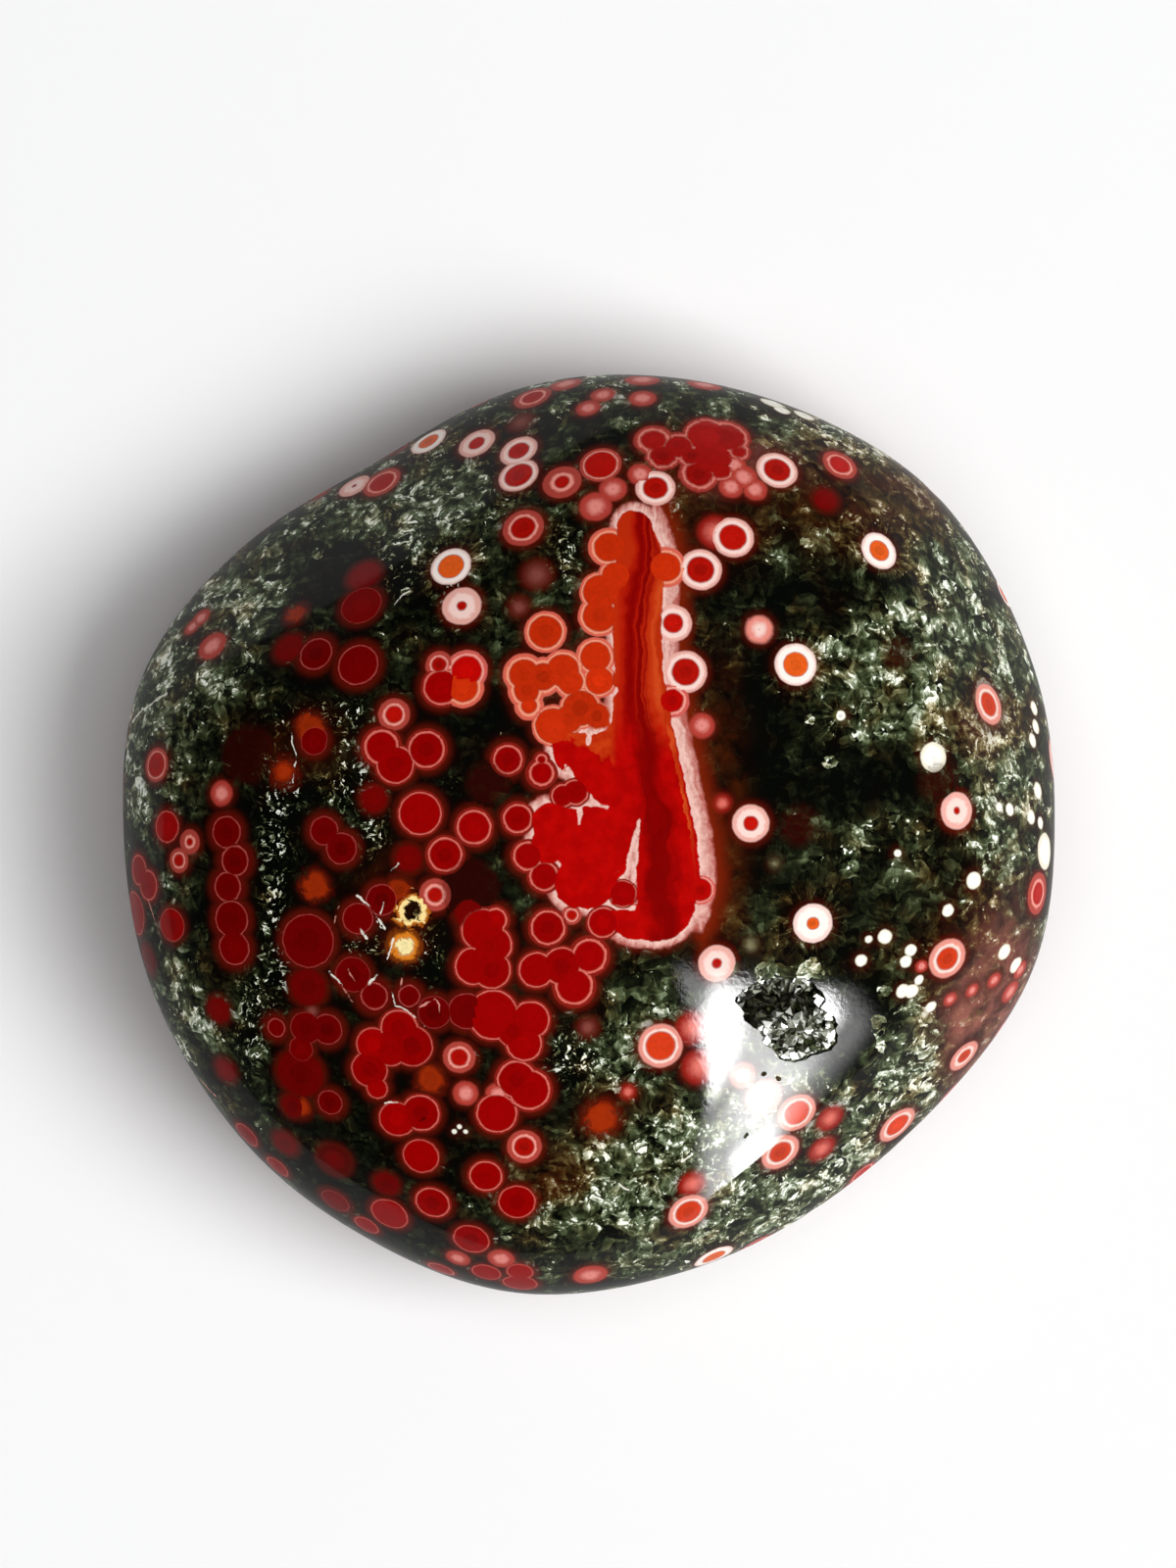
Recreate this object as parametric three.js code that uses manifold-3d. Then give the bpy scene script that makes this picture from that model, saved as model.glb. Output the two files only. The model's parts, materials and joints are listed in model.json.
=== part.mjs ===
// A polished palm stone of ocean jasper: a rounded, slightly flattened pebble that was ground and
// polished all over, with soft planes left by the grinding wheel, one small flat spot to rest on and
// one small open pocket lined with quartz crystals. Millimetres, +Z up. The origin is on the surface
// that the stone rests on, under the middle of the stone.

import * as THREE from "three";
import { mergeVertices } from "three/addons/utils/BufferGeometryUtils.js";
import Module from "manifold-3d";

const wasm = await Module();
wasm.setup();

// ---- Driving dimensions -------------------------------------------------------------------------

// How far the rounded stone reaches sideways at its widest level, every 20 degrees anticlockwise
// from +X, before the soft planes below take a little off.
const RIM_REACH = [
  38.4, 40.4, 40.3, 38.7, 37.7, 37.1, 35.6, 37.3, 38.5,
  37.9, 38.3, 37.9, 37.4, 37.7, 36.7, 36.6, 37.0, 38.1,
];
const CROWN_RISE = 17.6; // from the widest level up to the top
const BELLY_DROP = 16.4; // from the widest level down to where the rounded belly would end
const REST_DROP = 15.8; // from the widest level down to the flat spot that the stone rests on
const ROUNDNESS = 2.2; // 2 is an ellipse in section, and more is fuller at the shoulder
const GRIND_SHARPNESS = 16; // how tightly the soft planes turn into the rest of the surface

// The planes that grinding left: which way each faces (bearing and tilt from straight up, degrees)
// and how far it lies from the middle of the widest level.
const GROUND_PLANES = [
  { bearing: -52, tilt: 17, distance: 18.9 },
  { bearing: -48, tilt: 52, distance: 28.4 },
  { bearing: 122, tilt: 50, distance: 27.6 },
  { bearing: 20, tilt: 58, distance: 33.2 },
  { bearing: 205, tilt: 128, distance: 30.6 },
];

// The pocket: a deep lobe and a shallow one that run together, each an irregular bowl sunk from the
// polished surface. Length and width are half of what the lobe measures across.
const POCKET_LOBES = [
  { x: 15.5, y: -13.6, length: 3.7, width: 2.4, depth: 2.5, turn: -4 },
  { x: 17.3, y: -15.9, length: 3.9, width: 2.6, depth: 1.8, turn: -24 },
];
const POCKET_ROUGHNESS = 0.09; // how far the broken wall strays from a smooth bowl, as a share

const CRUST_CLEARANCE = 0.3; // between the crystal crust and the wall that it grew on
const CRUST_SHARE = 0.4; // of a lobe's depth that the crust's bed fills
const CRYSTALS_PER_LOBE = 24;
const CRYSTAL_WIDTH = [0.6, 1.3]; // across the six corners, smallest and largest
const CRYSTAL_SLENDERNESS = 1.15; // height of a crystal's point over its width
const POLISH_SETBACK = 0.15; // the crystals' points end this far under the polished surface

const STONE_SEGMENTS = 24; // along each edge of the cube that is blown up into the stone
const BOWL_DETAIL = 2; // of the faceted ball that each bowl is made from

// ---- The outer surface ---------------------------------------------------------------------------

const radians = THREE.MathUtils.degToRad;

// A smooth closed curve through RIM_REACH, as a radius for any bearing in radians.
function rimReach(bearing) {
  const count = RIM_REACH.length;
  const place = (((bearing / (2 * Math.PI)) % 1) + 1) % 1 * count;
  const first = Math.floor(place);
  const t = place - first;
  const at = (k) => RIM_REACH[(first + k + count) % count];
  const slopeIn = (at(1) - at(-1)) / 2;
  const slopeOut = (at(2) - at(0)) / 2;
  const rise = at(1) - at(0);
  const bend = 3 * rise - 2 * slopeIn - slopeOut;
  const twist = slopeIn + slopeOut - 2 * rise;
  return at(0) + t * (slopeIn + t * (bend + t * twist));
}

const groundPlanes = GROUND_PLANES.map(({ bearing, tilt, distance }) => ({
  facing: new THREE.Vector3().setFromSphericalCoords(1, radians(tilt), 0)
    .applyMatrix4(new THREE.Matrix4().makeRotationX(Math.PI / 2))
    .applyAxisAngle(new THREE.Vector3(0, 0, 1), radians(bearing + 90)),
  distance,
}));

// How far the surface lies from the middle of the widest level along a unit direction.
function surfaceReach(direction) {
  const sideways = Math.hypot(direction.x, direction.y) / rimReach(Math.atan2(direction.y, direction.x));
  const upright = Math.abs(direction.z) / (direction.z > 0 ? CROWN_RISE : BELLY_DROP);
  const rounded = (sideways ** ROUNDNESS + upright ** ROUNDNESS) ** (1 / ROUNDNESS);
  let sum = rounded ** GRIND_SHARPNESS;
  for (const plane of groundPlanes)
    sum += (Math.max(0, plane.facing.dot(direction)) / plane.distance) ** GRIND_SHARPNESS;
  return sum ** (-1 / GRIND_SHARPNESS);
}

// The point of the upper surface over a place in plan, found along the ray that passes over it.
function crownPoint(x, y) {
  let low = 0;
  let high = CROWN_RISE;
  for (let step = 0; step < 40; step += 1) {
    const z = (low + high) / 2;
    const length = Math.hypot(x, y, z);
    if (surfaceReach(new THREE.Vector3(x / length, y / length, z / length)) > length) low = z;
    else high = z;
  }
  return new THREE.Vector3(x, y, (low + high) / 2);
}

// ---- Solids ---------------------------------------------------------------------------------------

function toSolid(geometry) {
  const bare = geometry.clone();
  bare.deleteAttribute("normal");
  bare.deleteAttribute("uv");
  const merged = mergeVertices(bare, 1e-4);
  return new wasm.Manifold(new wasm.Mesh({
    numProp: 3,
    vertProperties: new Float32Array(merged.attributes.position.array),
    triVerts: new Uint32Array(merged.index.array),
  }));
}

function toGeometry(solid) {
  const { vertProperties, triVerts, numProp } = solid.getMesh();
  const places = new Float32Array((vertProperties.length / numProp) * 3);
  for (let v = 0; v < places.length / 3; v += 1)
    for (let k = 0; k < 3; k += 1) places[3 * v + k] = vertProperties[numProp * v + k];
  const geometry = new THREE.BufferGeometry();
  geometry.setAttribute("position", new THREE.BufferAttribute(places, 3));
  geometry.setIndex(new THREE.BufferAttribute(new Uint32Array(triVerts), 1));
  const faceted = geometry.toNonIndexed();
  faceted.computeVertexNormals();
  return faceted;
}

// The rounded stone before the flat spot and the pocket: a finely divided cube, blown up to the surface.
function makePebble() {
  const cube = new THREE.BoxGeometry(2, 2, 2, STONE_SEGMENTS, STONE_SEGMENTS, STONE_SEGMENTS);
  const places = cube.attributes.position;
  const point = new THREE.Vector3();
  const spread = (value) => Math.tan(value * Math.PI / 4);
  for (let v = 0; v < places.count; v += 1) {
    point.set(spread(places.getX(v)), spread(places.getY(v)), spread(places.getZ(v))).normalize();
    point.multiplyScalar(surfaceReach(point));
    places.setXYZ(v, point.x, point.y, point.z);
  }
  return toSolid(cube);
}

// The largest connected body of a solid, without chips that were cut loose or bubbles sealed in.
function largestBody(solid) {
  return solid.decompose().reduce((best, body) => (body.volume() > best.volume() ? body : best));
}

// Everything under a level, wide enough to cover the stone.
function makeSlabUnder(level) {
  const side = 200;
  return toSolid(new THREE.BoxGeometry(side, side, side).translate(0, 0, level - side / 2));
}

// A repeatable run of numbers from 0 to 1.
function makeDice(seed) {
  let state = seed;
  return () => {
    state = (Math.imul(state, 1664525) + 1013904223) >>> 0;
    return state / 2 ** 32;
  };
}

// ---- The pocket and its crystals -------------------------------------------------------------------

// Carries a shape from a lobe's own frame, z out of the stone, to its place on the crown.
function lobeFrame({ x, y, turn }) {
  const step = 0.5;
  const centre = crownPoint(x, y);
  const east = crownPoint(x + step, y).sub(centre);
  const north = crownPoint(x, y + step).sub(centre);
  const out = east.clone().cross(north).normalize();
  const along = east.applyAxisAngle(out, radians(turn)).normalize();
  const across = out.clone().cross(along);
  return new THREE.Matrix4().makeBasis(along, across, out).setPosition(centre);
}

// An irregular ball, squashed to a lobe's length, width and depth, less a margin all round.
function makeBowl(lobe, margin, seed) {
  const ball = mergeVertices(bareBall(), 1e-4);
  const roll = makeDice(seed);
  const places = ball.attributes.position;
  for (let v = 0; v < places.count; v += 1) {
    const stray = 1 + POCKET_ROUGHNESS * (2 * roll() - 1);
    places.setXYZ(
      v,
      places.getX(v) * (lobe.length * stray - margin),
      places.getY(v) * (lobe.width * stray - margin),
      places.getZ(v) * (lobe.depth * stray - margin),
    );
  }
  return toSolid(ball.applyMatrix4(lobeFrame(lobe)));
}

function bareBall() {
  const ball = new THREE.IcosahedronGeometry(1, BOWL_DETAIL);
  ball.deleteAttribute("normal");
  ball.deleteAttribute("uv");
  return ball;
}

// One quartz crystal: a six-sided point with a short six-sided body below it, standing on z = 0.
function makeCrystal(width) {
  const body = 0.5 * width;
  const point = CRYSTAL_SLENDERNESS * width;
  const profile = [[0, -body], [width / 2, -body], [width / 2, body * 0.4], [0, body * 0.4 + point]];
  const outline = profile.map(([radius, height]) => new THREE.Vector2(radius, height));
  return new THREE.LatheGeometry(outline, 6).rotateX(Math.PI / 2);
}

// The open space of a lobe above its bed, with the mouth left open well past the surface.
function makeMouth(lobe, share) {
  const space = bareBall().scale(lobe.length * share * 1.15, lobe.width * share * 1.15, lobe.depth * share);
  return toSolid(space.applyMatrix4(lobeFrame(lobe)));
}

// The crystals that line one lobe, each standing on its bed and leaning towards its mouth.
function makeCrystals(lobe, seed) {
  const roll = makeDice(seed);
  const frame = lobeFrame(lobe);
  const up = new THREE.Vector3(0, 0, 1);
  const bed = new THREE.Vector3(lobe.length, lobe.width, lobe.depth).multiplyScalar(1 - CRUST_SHARE);
  return Array.from({ length: CRYSTALS_PER_LOBE }, () => {
    const turn = 2 * Math.PI * roll();
    const outward = Math.sqrt(roll()) * 0.92;
    const spot = new THREE.Vector3(outward * Math.cos(turn), outward * Math.sin(turn), 0);
    spot.z = -Math.sqrt(1 - outward * outward);
    const lean = new THREE.Vector3(-spot.x, -spot.y, 1.4 + roll()).normalize();
    const width = THREE.MathUtils.lerp(CRYSTAL_WIDTH[0], CRYSTAL_WIDTH[1], roll() ** 2);
    const crystal = makeCrystal(width)
      .rotateZ(Math.PI * roll())
      .applyQuaternion(new THREE.Quaternion().setFromUnitVectors(up, lean))
      .translate(...spot.multiply(bed).toArray())
      .applyMatrix4(frame);
    return toSolid(crystal);
  });
}

// ---- Pieces ---------------------------------------------------------------------------------------

const WALL_SEED = 11;
const joined = (solids) => solids.reduce((whole, solid) => whole.add(solid));
const pocket = joined(POCKET_LOBES.map((lobe, k) => makeBowl(lobe, 0, WALL_SEED + k)));
const room = joined(POCKET_LOBES.map((lobe, k) => makeBowl(lobe, CRUST_CLEARANCE, WALL_SEED + k)));
const mouth = joined(POCKET_LOBES.map((lobe) => makeMouth(lobe, 1 - CRUST_SHARE)));
const grown = joined(POCKET_LOBES.flatMap((lobe, k) => makeCrystals(lobe, WALL_SEED + k)));
const pebble = makePebble();
const underPolish = pebble.translate(POLISH_SETBACK * -0.6, POLISH_SETBACK * 0.55, -POLISH_SETBACK);
const crust = largestBody(room.subtract(mouth).add(grown).intersect(room).intersect(underPolish));
const polished = pebble.subtract(makeSlabUnder(-REST_DROP)).subtract(pocket);

const jasper = new THREE.MeshStandardMaterial({ color: 0x2e3328, roughness: 0.12, metalness: 0 });
const quartz = new THREE.MeshStandardMaterial({ color: 0x9aa093, roughness: 0.2, metalness: 0 });

const stone = new THREE.Mesh(toGeometry(polished), jasper);
stone.name = "stone";
const crystals = new THREE.Mesh(toGeometry(crust), quartz);
crystals.name = "pocket_crystals";

const palmStone = new THREE.Group();
palmStone.name = "ocean_jasper_palm_stone";
palmStone.add(stone, crystals);
palmStone.position.z = REST_DROP;

export default palmStone;
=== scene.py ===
# %% [markdown]
# # An ocean jasper palm stone
# The stone is a polished pebble that fits the hand. Its dark chalcedony holds hundreds of small
# orbs, each a red or orange core in a pink or white ring, and one red river runs down the top.
# A small open pocket is lined with quartz crystals. The lesson makes the polished body and the
# crystals as fine meshes, and then paints them with nodes alone.

# %%  The frame that the pieces are built around
import json
import math

import bmesh
import bpy
import numpy as np
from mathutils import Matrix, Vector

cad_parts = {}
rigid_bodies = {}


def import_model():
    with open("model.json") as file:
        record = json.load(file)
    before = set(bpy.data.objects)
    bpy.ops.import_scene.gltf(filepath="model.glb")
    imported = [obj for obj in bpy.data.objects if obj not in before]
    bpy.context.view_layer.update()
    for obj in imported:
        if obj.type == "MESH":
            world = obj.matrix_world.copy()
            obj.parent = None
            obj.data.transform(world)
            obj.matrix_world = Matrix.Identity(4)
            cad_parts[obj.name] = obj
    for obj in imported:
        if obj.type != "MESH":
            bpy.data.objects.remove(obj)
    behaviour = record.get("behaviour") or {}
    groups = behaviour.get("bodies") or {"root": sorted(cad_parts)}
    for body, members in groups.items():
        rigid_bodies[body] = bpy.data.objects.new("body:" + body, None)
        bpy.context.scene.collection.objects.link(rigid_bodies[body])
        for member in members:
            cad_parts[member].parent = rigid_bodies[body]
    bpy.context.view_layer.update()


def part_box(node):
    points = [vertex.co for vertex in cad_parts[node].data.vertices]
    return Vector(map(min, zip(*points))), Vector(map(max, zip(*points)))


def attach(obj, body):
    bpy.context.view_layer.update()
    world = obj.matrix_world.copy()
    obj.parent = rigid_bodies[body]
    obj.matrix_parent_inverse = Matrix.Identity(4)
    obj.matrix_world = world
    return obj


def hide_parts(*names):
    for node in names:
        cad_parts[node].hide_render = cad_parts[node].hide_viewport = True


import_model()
MM = 0.001

# %% [markdown]
# ## The camera
# The stone is seen from straight above, from about a metre away, with a long lens that hardly
# bends the outline. A camera without any turn looks down -Z with +X to the right, so only its
# place and its lens have to be worked out. The lens follows from how much of the floor the
# picture's height should take in.

# %%  A camera straight above the stone
CAMERA_HEIGHT = 1.06
VIEW_HEIGHT = 0.1272  # of floor-parallel plane that the picture's height takes in
SENSOR_HEIGHT = 36.0
WIDEST_LEVEL = 15.8 * MM  # the stone's outline lies at this height
FRAME_CENTRE = (0.0, 4.05 * MM)  # the stone sits a little below the picture's middle

camera_data = bpy.data.cameras.new("camera")
camera_data.sensor_fit = "VERTICAL"
camera_data.sensor_height = SENSOR_HEIGHT
camera_data.lens = SENSOR_HEIGHT * (CAMERA_HEIGHT - WIDEST_LEVEL) / VIEW_HEIGHT
camera = bpy.data.objects.new("camera", camera_data)
camera.location = (*FRAME_CENTRE, CAMERA_HEIGHT)
bpy.context.scene.collection.objects.link(camera)
bpy.context.scene.camera = camera
print("lens in mm:", round(camera_data.lens, 1))

# %% [markdown]
# ## Short names for shader nodes
# Every finish below is a web of nodes. Written out in full, each node takes several lines, so a
# small class keeps one material and gives each kind of node that is used here a short name. A
# socket or a plain number can be fed to any of them.


# %%  A helper that adds nodes to one material, or to one lamp
class Finish:
    def __init__(self, owner):
        if isinstance(owner, str):
            owner = bpy.data.materials.new(owner)
        owner.use_nodes = True
        self.material = owner
        self.nodes = owner.node_tree.nodes
        self.links = owner.node_tree.links
        names = ("Principled BSDF", "Emission", "Background")
        self.shader = next(self.nodes[name] for name in names if name in self.nodes)

    def add(self, kind, feeds, out=0, **settings):
        """A node with its settings and what feeds its sockets; returns one of its outputs."""
        made = self.nodes.new(kind)
        for key, value in settings.items():
            setattr(made, key, value)
        for key, value in feeds.items():
            self.feed(made.inputs[key], value)
        return made.outputs[out]

    def feed(self, socket, value):
        if isinstance(value, bpy.types.NodeSocket):
            self.links.new(value, socket)
        else:
            socket.default_value = value

    def calc(self, operation, *values, clamp=False):
        feeds = dict(enumerate(values))
        return self.add("ShaderNodeMath", feeds, operation=operation, use_clamp=clamp)

    def plus(self, first, second):
        return self.calc("ADD", first, second)

    def minus(self, first, second):
        return self.calc("SUBTRACT", first, second)

    def times(self, first, second, clamp=False):
        return self.calc("MULTIPLY", first, second, clamp=clamp)

    def times_plus(self, first, second, third):
        """The first times the second, plus the third."""
        return self.calc("MULTIPLY_ADD", first, second, third)

    def vector(self, operation, *values, out=0):
        return self.add("ShaderNodeVectorMath", dict(enumerate(values)), out, operation=operation)

    def scaled(self, vector, factor):
        return self.add("ShaderNodeVectorMath", {0: vector, "Scale": factor}, operation="SCALE")

    def split(self, value, kind="XYZ"):
        """The parts of a vector, or those of a colour if the kind is Color."""
        made = self.nodes.new("ShaderNodeSeparate" + kind)
        self.feed(made.inputs[0], value)
        return made.outputs

    def mix(self, share, first, second):
        """A number between two others."""
        return self.add("ShaderNodeMix", {0: share, 2: first, 3: second}, 0, data_type="FLOAT")

    def blend(self, share, first, second):
        """A colour between two others."""
        feeds = {0: share, 6: first, 7: second}
        return self.add("ShaderNodeMix", feeds, 2, data_type="RGBA")

    def fade(self, value, start, end, low=0.0, high=1.0):
        """A smooth step from low to high as value goes from start to end."""
        feeds = {0: value, 1: start, 2: end, 3: low, 4: high}
        return self.add("ShaderNodeMapRange", feeds, interpolation_type="SMOOTHSTEP")

    def noise(self, where, scale, detail=2.0, rough=0.5, bend=0.0, out=0):
        feeds = {"Vector": where, "Scale": scale, "Detail": detail, "Roughness": rough, "Distortion": bend}
        return self.add("ShaderNodeTexNoise", feeds, out)

    def swing(self, where, *kind):
        """The same noise, moved down so that it swings about zero."""
        return self.minus(self.noise(where, *kind), 0.5)

    def stored(self, name, out):
        """What the mesh stores under a name: output 1 is a vector, 2 is a number."""
        return self.add("ShaderNodeAttribute", {}, out, attribute_name=name)

    def steps(self, value, colours):
        """Picks one colour of a list: value 0 gives the first, 1 the next and so on."""
        made = self.nodes.new("ShaderNodeValToRGB")
        made.color_ramp.interpolation = "CONSTANT"
        stops = made.color_ramp.elements
        for place, colour in enumerate(colours):
            stop = stops[place] if place < 2 else stops.new(1.0)
            stop.position = place / len(colours)
            stop.color = colour
        middle = self.calc("DIVIDE", self.plus(value, 0.5), len(colours))
        self.links.new(middle, made.inputs[0])
        return made.outputs


def tint(red, green, blue, alpha=1.0):
    """A colour given as a paint card would, 0 to 255, in the linear light that nodes use."""
    shares = [part / 255 for part in (red, green, blue)]
    linear = [((s + 0.055) / 1.055) ** 2.4 if s > 10 / 255 else s / 12.92 for s in shares]
    return (*linear, alpha)


# %% [markdown]
# ## The floor and the light
# A polished dark stone shows its surroundings, so the light decides the look as much as the
# paint does. A low window at the lower right makes the highlight on the stone's flank. A broad
# softbox on the right gives the soft shadow to the left, and a faint one overhead opens the
# shadows; both are hidden from reflections, so nothing veils the polish. The sky is dark overhead
# and brighter near the horizon, most of all on the right, which puts a thin pale line on the rim.

# %%  A plain pale floor
FLOOR_REACH = 3.0
floor_mesh = bpy.data.meshes.new("floor")
corners = [(-FLOOR_REACH, -FLOOR_REACH, 0), (FLOOR_REACH, -FLOOR_REACH, 0)]
corners += [(FLOOR_REACH, FLOOR_REACH, 0), (-FLOOR_REACH, FLOOR_REACH, 0)]
floor_mesh.from_pydata(corners, [], [(0, 1, 2, 3)])
floor = bpy.data.objects.new("floor", floor_mesh)
bpy.context.scene.collection.objects.link(floor)

paper = Finish("white paper")
paper.feed(paper.shader.inputs["Base Color"], (0.93, 0.93, 0.93, 1.0))
paper.feed(paper.shader.inputs["Roughness"], 0.9)
paper.feed(paper.shader.inputs["Specular IOR Level"], 0.1)
floor_mesh.materials.append(paper.material)


# %%  Softboxes, each aimed at the stone
def softbox(name, bearing, off_vertical, distance, size, power, upright=False):
    """A rectangular lamp at a bearing and an angle off the vertical, aimed down or standing upright."""
    lamp = bpy.data.lights.new(name, "AREA")
    lamp.shape = "RECTANGLE"
    lamp.size, lamp.size_y = size
    lamp.energy = power
    box = bpy.data.objects.new(name, lamp)
    turn, lean = math.radians(bearing), math.radians(off_vertical)
    sideways = distance * math.sin(lean)
    box.location = (sideways * math.cos(turn), sideways * math.sin(turn), distance * math.cos(lean))
    box.rotation_euler = (0.0, math.pi / 2 if upright else lean, turn)
    bpy.context.scene.collection.objects.link(box)
    return box


window = softbox(
    "window", bearing=-52, off_vertical=46.6, distance=1.10, size=(1.44, 0.20), power=66.0, upright=True
)
side_box = softbox("side", bearing=-18.5, off_vertical=32, distance=2.40, size=(1.3, 1.3), power=50.0)
top_box = softbox("fill", bearing=-90, off_vertical=4, distance=2.40, size=(1.6, 1.6), power=19.5)
window.visible_diffuse = False  # it is seen in the polish, and lights nothing else
for box in (side_box, top_box):
    box.visible_glossy = False

# %% [markdown]
# A bare rectangle would give a highlight with four hard corners. Light that comes through a real
# window is uneven: strongest along one side of the opening, dimmed by a curtain elsewhere. The
# lamp has nodes of its own for that. Their two numbers run along the lamp's sides from 0 to 1:
# the fall goes down the opening and the other one across it. Each edge is a slanted line, written
# as how far a point lies past it, and a fade over that distance makes the edge soft.

# %%  The window's own pattern of light
curtain = Finish(window.data)
fall, across = curtain.split(curtain.add("ShaderNodeNewGeometry", {}, "Parametric"))[:2]
from_side = curtain.minus(across, curtain.times_plus(fall, -0.31, 0.40))
from_top = curtain.minus(fall, curtain.times_plus(across, 0.93, -0.36))
low_down = curtain.fade(fall, 0.42, 0.66)  # the near side's edge is softer here
edge_start = curtain.times(low_down, -0.15)
edge_end = curtain.times_plus(low_down, 0.08, 0.04)
near_side = curtain.fade(from_side, edge_start, edge_end)
top = curtain.fade(from_top, -0.02, 0.10)
far_side = curtain.fade(across, 0.84, 0.97, 1.0, 0.0)
far_corner = curtain.fade(curtain.times_plus(across, 0.5, fall), 1.18, 1.40, 1.0, 0.0)
opening = near_side
for edge in (top, far_side, far_corner):
    opening = curtain.times(opening, edge)


SOFT_TOP = 0.06
SOFT_FOOT = 0.08


def pane_light(middle, reach_across, from_fall, to_fall, strength):
    """A soft patch of light on the window, around a place across it and from one fall to another."""
    off = curtain.calc("ABSOLUTE", curtain.minus(across, middle))
    patch = curtain.fade(off, reach_across * 0.4, reach_across, strength, 0.0)
    patch = curtain.times(patch, curtain.fade(fall, from_fall - SOFT_TOP, from_fall + SOFT_TOP))
    return curtain.times(patch, curtain.fade(fall, to_fall - SOFT_FOOT, to_fall + SOFT_FOOT, 1.0, 0.0))


slanted = curtain.times_plus(fall, 0.9, from_side)
under_strip = curtain.times_plus(across, 0.4, fall)
strip = curtain.fade(slanted, 0.44, 0.60, 1.1, 0.0)
strip = curtain.times(strip, curtain.fade(under_strip, 0.34, 0.40))
strip = curtain.times(strip, curtain.fade(fall, 0.40, 0.60, 1.0, 0.0))
panes = [
    strip,  # the brightest part, along the near side
    pane_light(0.55, 0.26, 0.34, 0.80, 0.46),  # a dim patch in the middle
    pane_light(0.34, 0.40, 0.56, 1.20, 0.22),  # a dim patch low on the left
    pane_light(0.45, 0.18, 0.84, 1.20, 0.80),  # the low pane
    pane_light(0.78, 0.08, 0.40, 0.66, 1.10),  # the narrow right pane
    curtain.fade(from_side, 0.22, 0.55, 0.24, 0.19),  # what the curtain lets through
]
glow = panes[0]
for patch in panes[1:]:
    glow = curtain.plus(glow, patch)
curtain.feed(curtain.shader.inputs["Strength"], curtain.times(glow, opening))

# %%  A sky that is bright at the horizon and dark overhead
HORIZON = (0.40, 0.41, 0.42, 1.0)
ZENITH = (0.045, 0.047, 0.05, 1.0)
world = bpy.data.worlds.new("studio")
world.use_nodes = True
bpy.context.scene.world = world
sky = Finish(world)
to_right, _, upwards = sky.split(sky.add("ShaderNodeTexCoord", {}, 0))
shade = sky.blend(sky.fade(upwards, 0.05, 0.45), HORIZON, ZENITH)
brighter_right = sky.fade(to_right, -0.8, 0.5, 0.45, 1.1)
sky.feed(sky.shader.inputs["Color"], sky.scaled(shade, brighter_right))
bpy.context.scene.view_settings.view_transform = "Standard"

# %% [markdown]
# ## The polished body
# The real stone was ground and tumbled from a rough lump: a fat lens with a wavy outline, eased
# flat in a few places. It could be sculpted by hand, but a rule is easier to repeat. For every
# direction from the middle, the rule gives how far the surface lies, from the outline's reach,
# the height above and below, and the soft grinding planes. The CAD solid follows the same rule
# with few faces, so the fine mesh lies on it everywhere.

# %%  How far the surface lies from the middle, in millimetres
RIM_REACH = np.array([
    38.4, 40.4, 40.3, 38.7, 37.7, 37.1, 35.6, 37.3, 38.5,
    37.9, 38.3, 37.9, 37.4, 37.7, 36.7, 36.6, 37.0, 38.1,
])  # every 20 degrees anticlockwise from +X
CROWN_RISE = 17.6
BELLY_DROP = 16.4
REST_DROP = 15.8  # the flat rest spot lies this far below the middle
ROUNDNESS = 2.2
GRIND_SHARPNESS = 16
GROUND_PLANES = [
    # bearing, tilt off the vertical, distance from the middle
    (-52, 17, 18.9), (-48, 52, 28.4), (122, 50, 27.6), (20, 58, 33.2), (205, 128, 30.6),
]


def unit(way):
    return way / np.linalg.norm(way)


def rim_reach(bearing):
    """The outline's reach at a bearing, as a smooth curve through the listed ones."""
    place = (bearing / (2 * np.pi) % 1) * len(RIM_REACH)
    whole = np.floor(place).astype(int)
    part = place - whole
    before, start, end, after = (RIM_REACH[(whole + k) % len(RIM_REACH)] for k in (-1, 0, 1, 2))
    bend = 2 * before - 5 * start + 4 * end - after
    twist = 3 * (start - end) + after - before
    return start + part * ((end - before) + part * (bend + part * twist)) / 2


def surface_reach(way):
    """How far the surface lies along each unit vector of an array."""
    side = np.hypot(way[:, 0], way[:, 1]) / rim_reach(np.arctan2(way[:, 1], way[:, 0]))
    up = np.abs(way[:, 2]) / np.where(way[:, 2] > 0, CROWN_RISE, BELLY_DROP)
    hardness = (side**ROUNDNESS + up**ROUNDNESS) ** (GRIND_SHARPNESS / ROUNDNESS)
    for bearing, tilt, distance in GROUND_PLANES:
        turn, lean = math.radians(bearing), math.radians(tilt)
        facing = (math.sin(lean) * math.cos(turn), math.sin(lean) * math.sin(turn), math.cos(lean))
        hardness += (np.maximum(0, way @ np.array(facing)) / distance) ** GRIND_SHARPNESS
    return hardness ** (-1 / GRIND_SHARPNESS)


# %%  The fine mesh: a cube's grid blown up to the surface
GRID = 122  # squares along each edge of the cube


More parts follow.
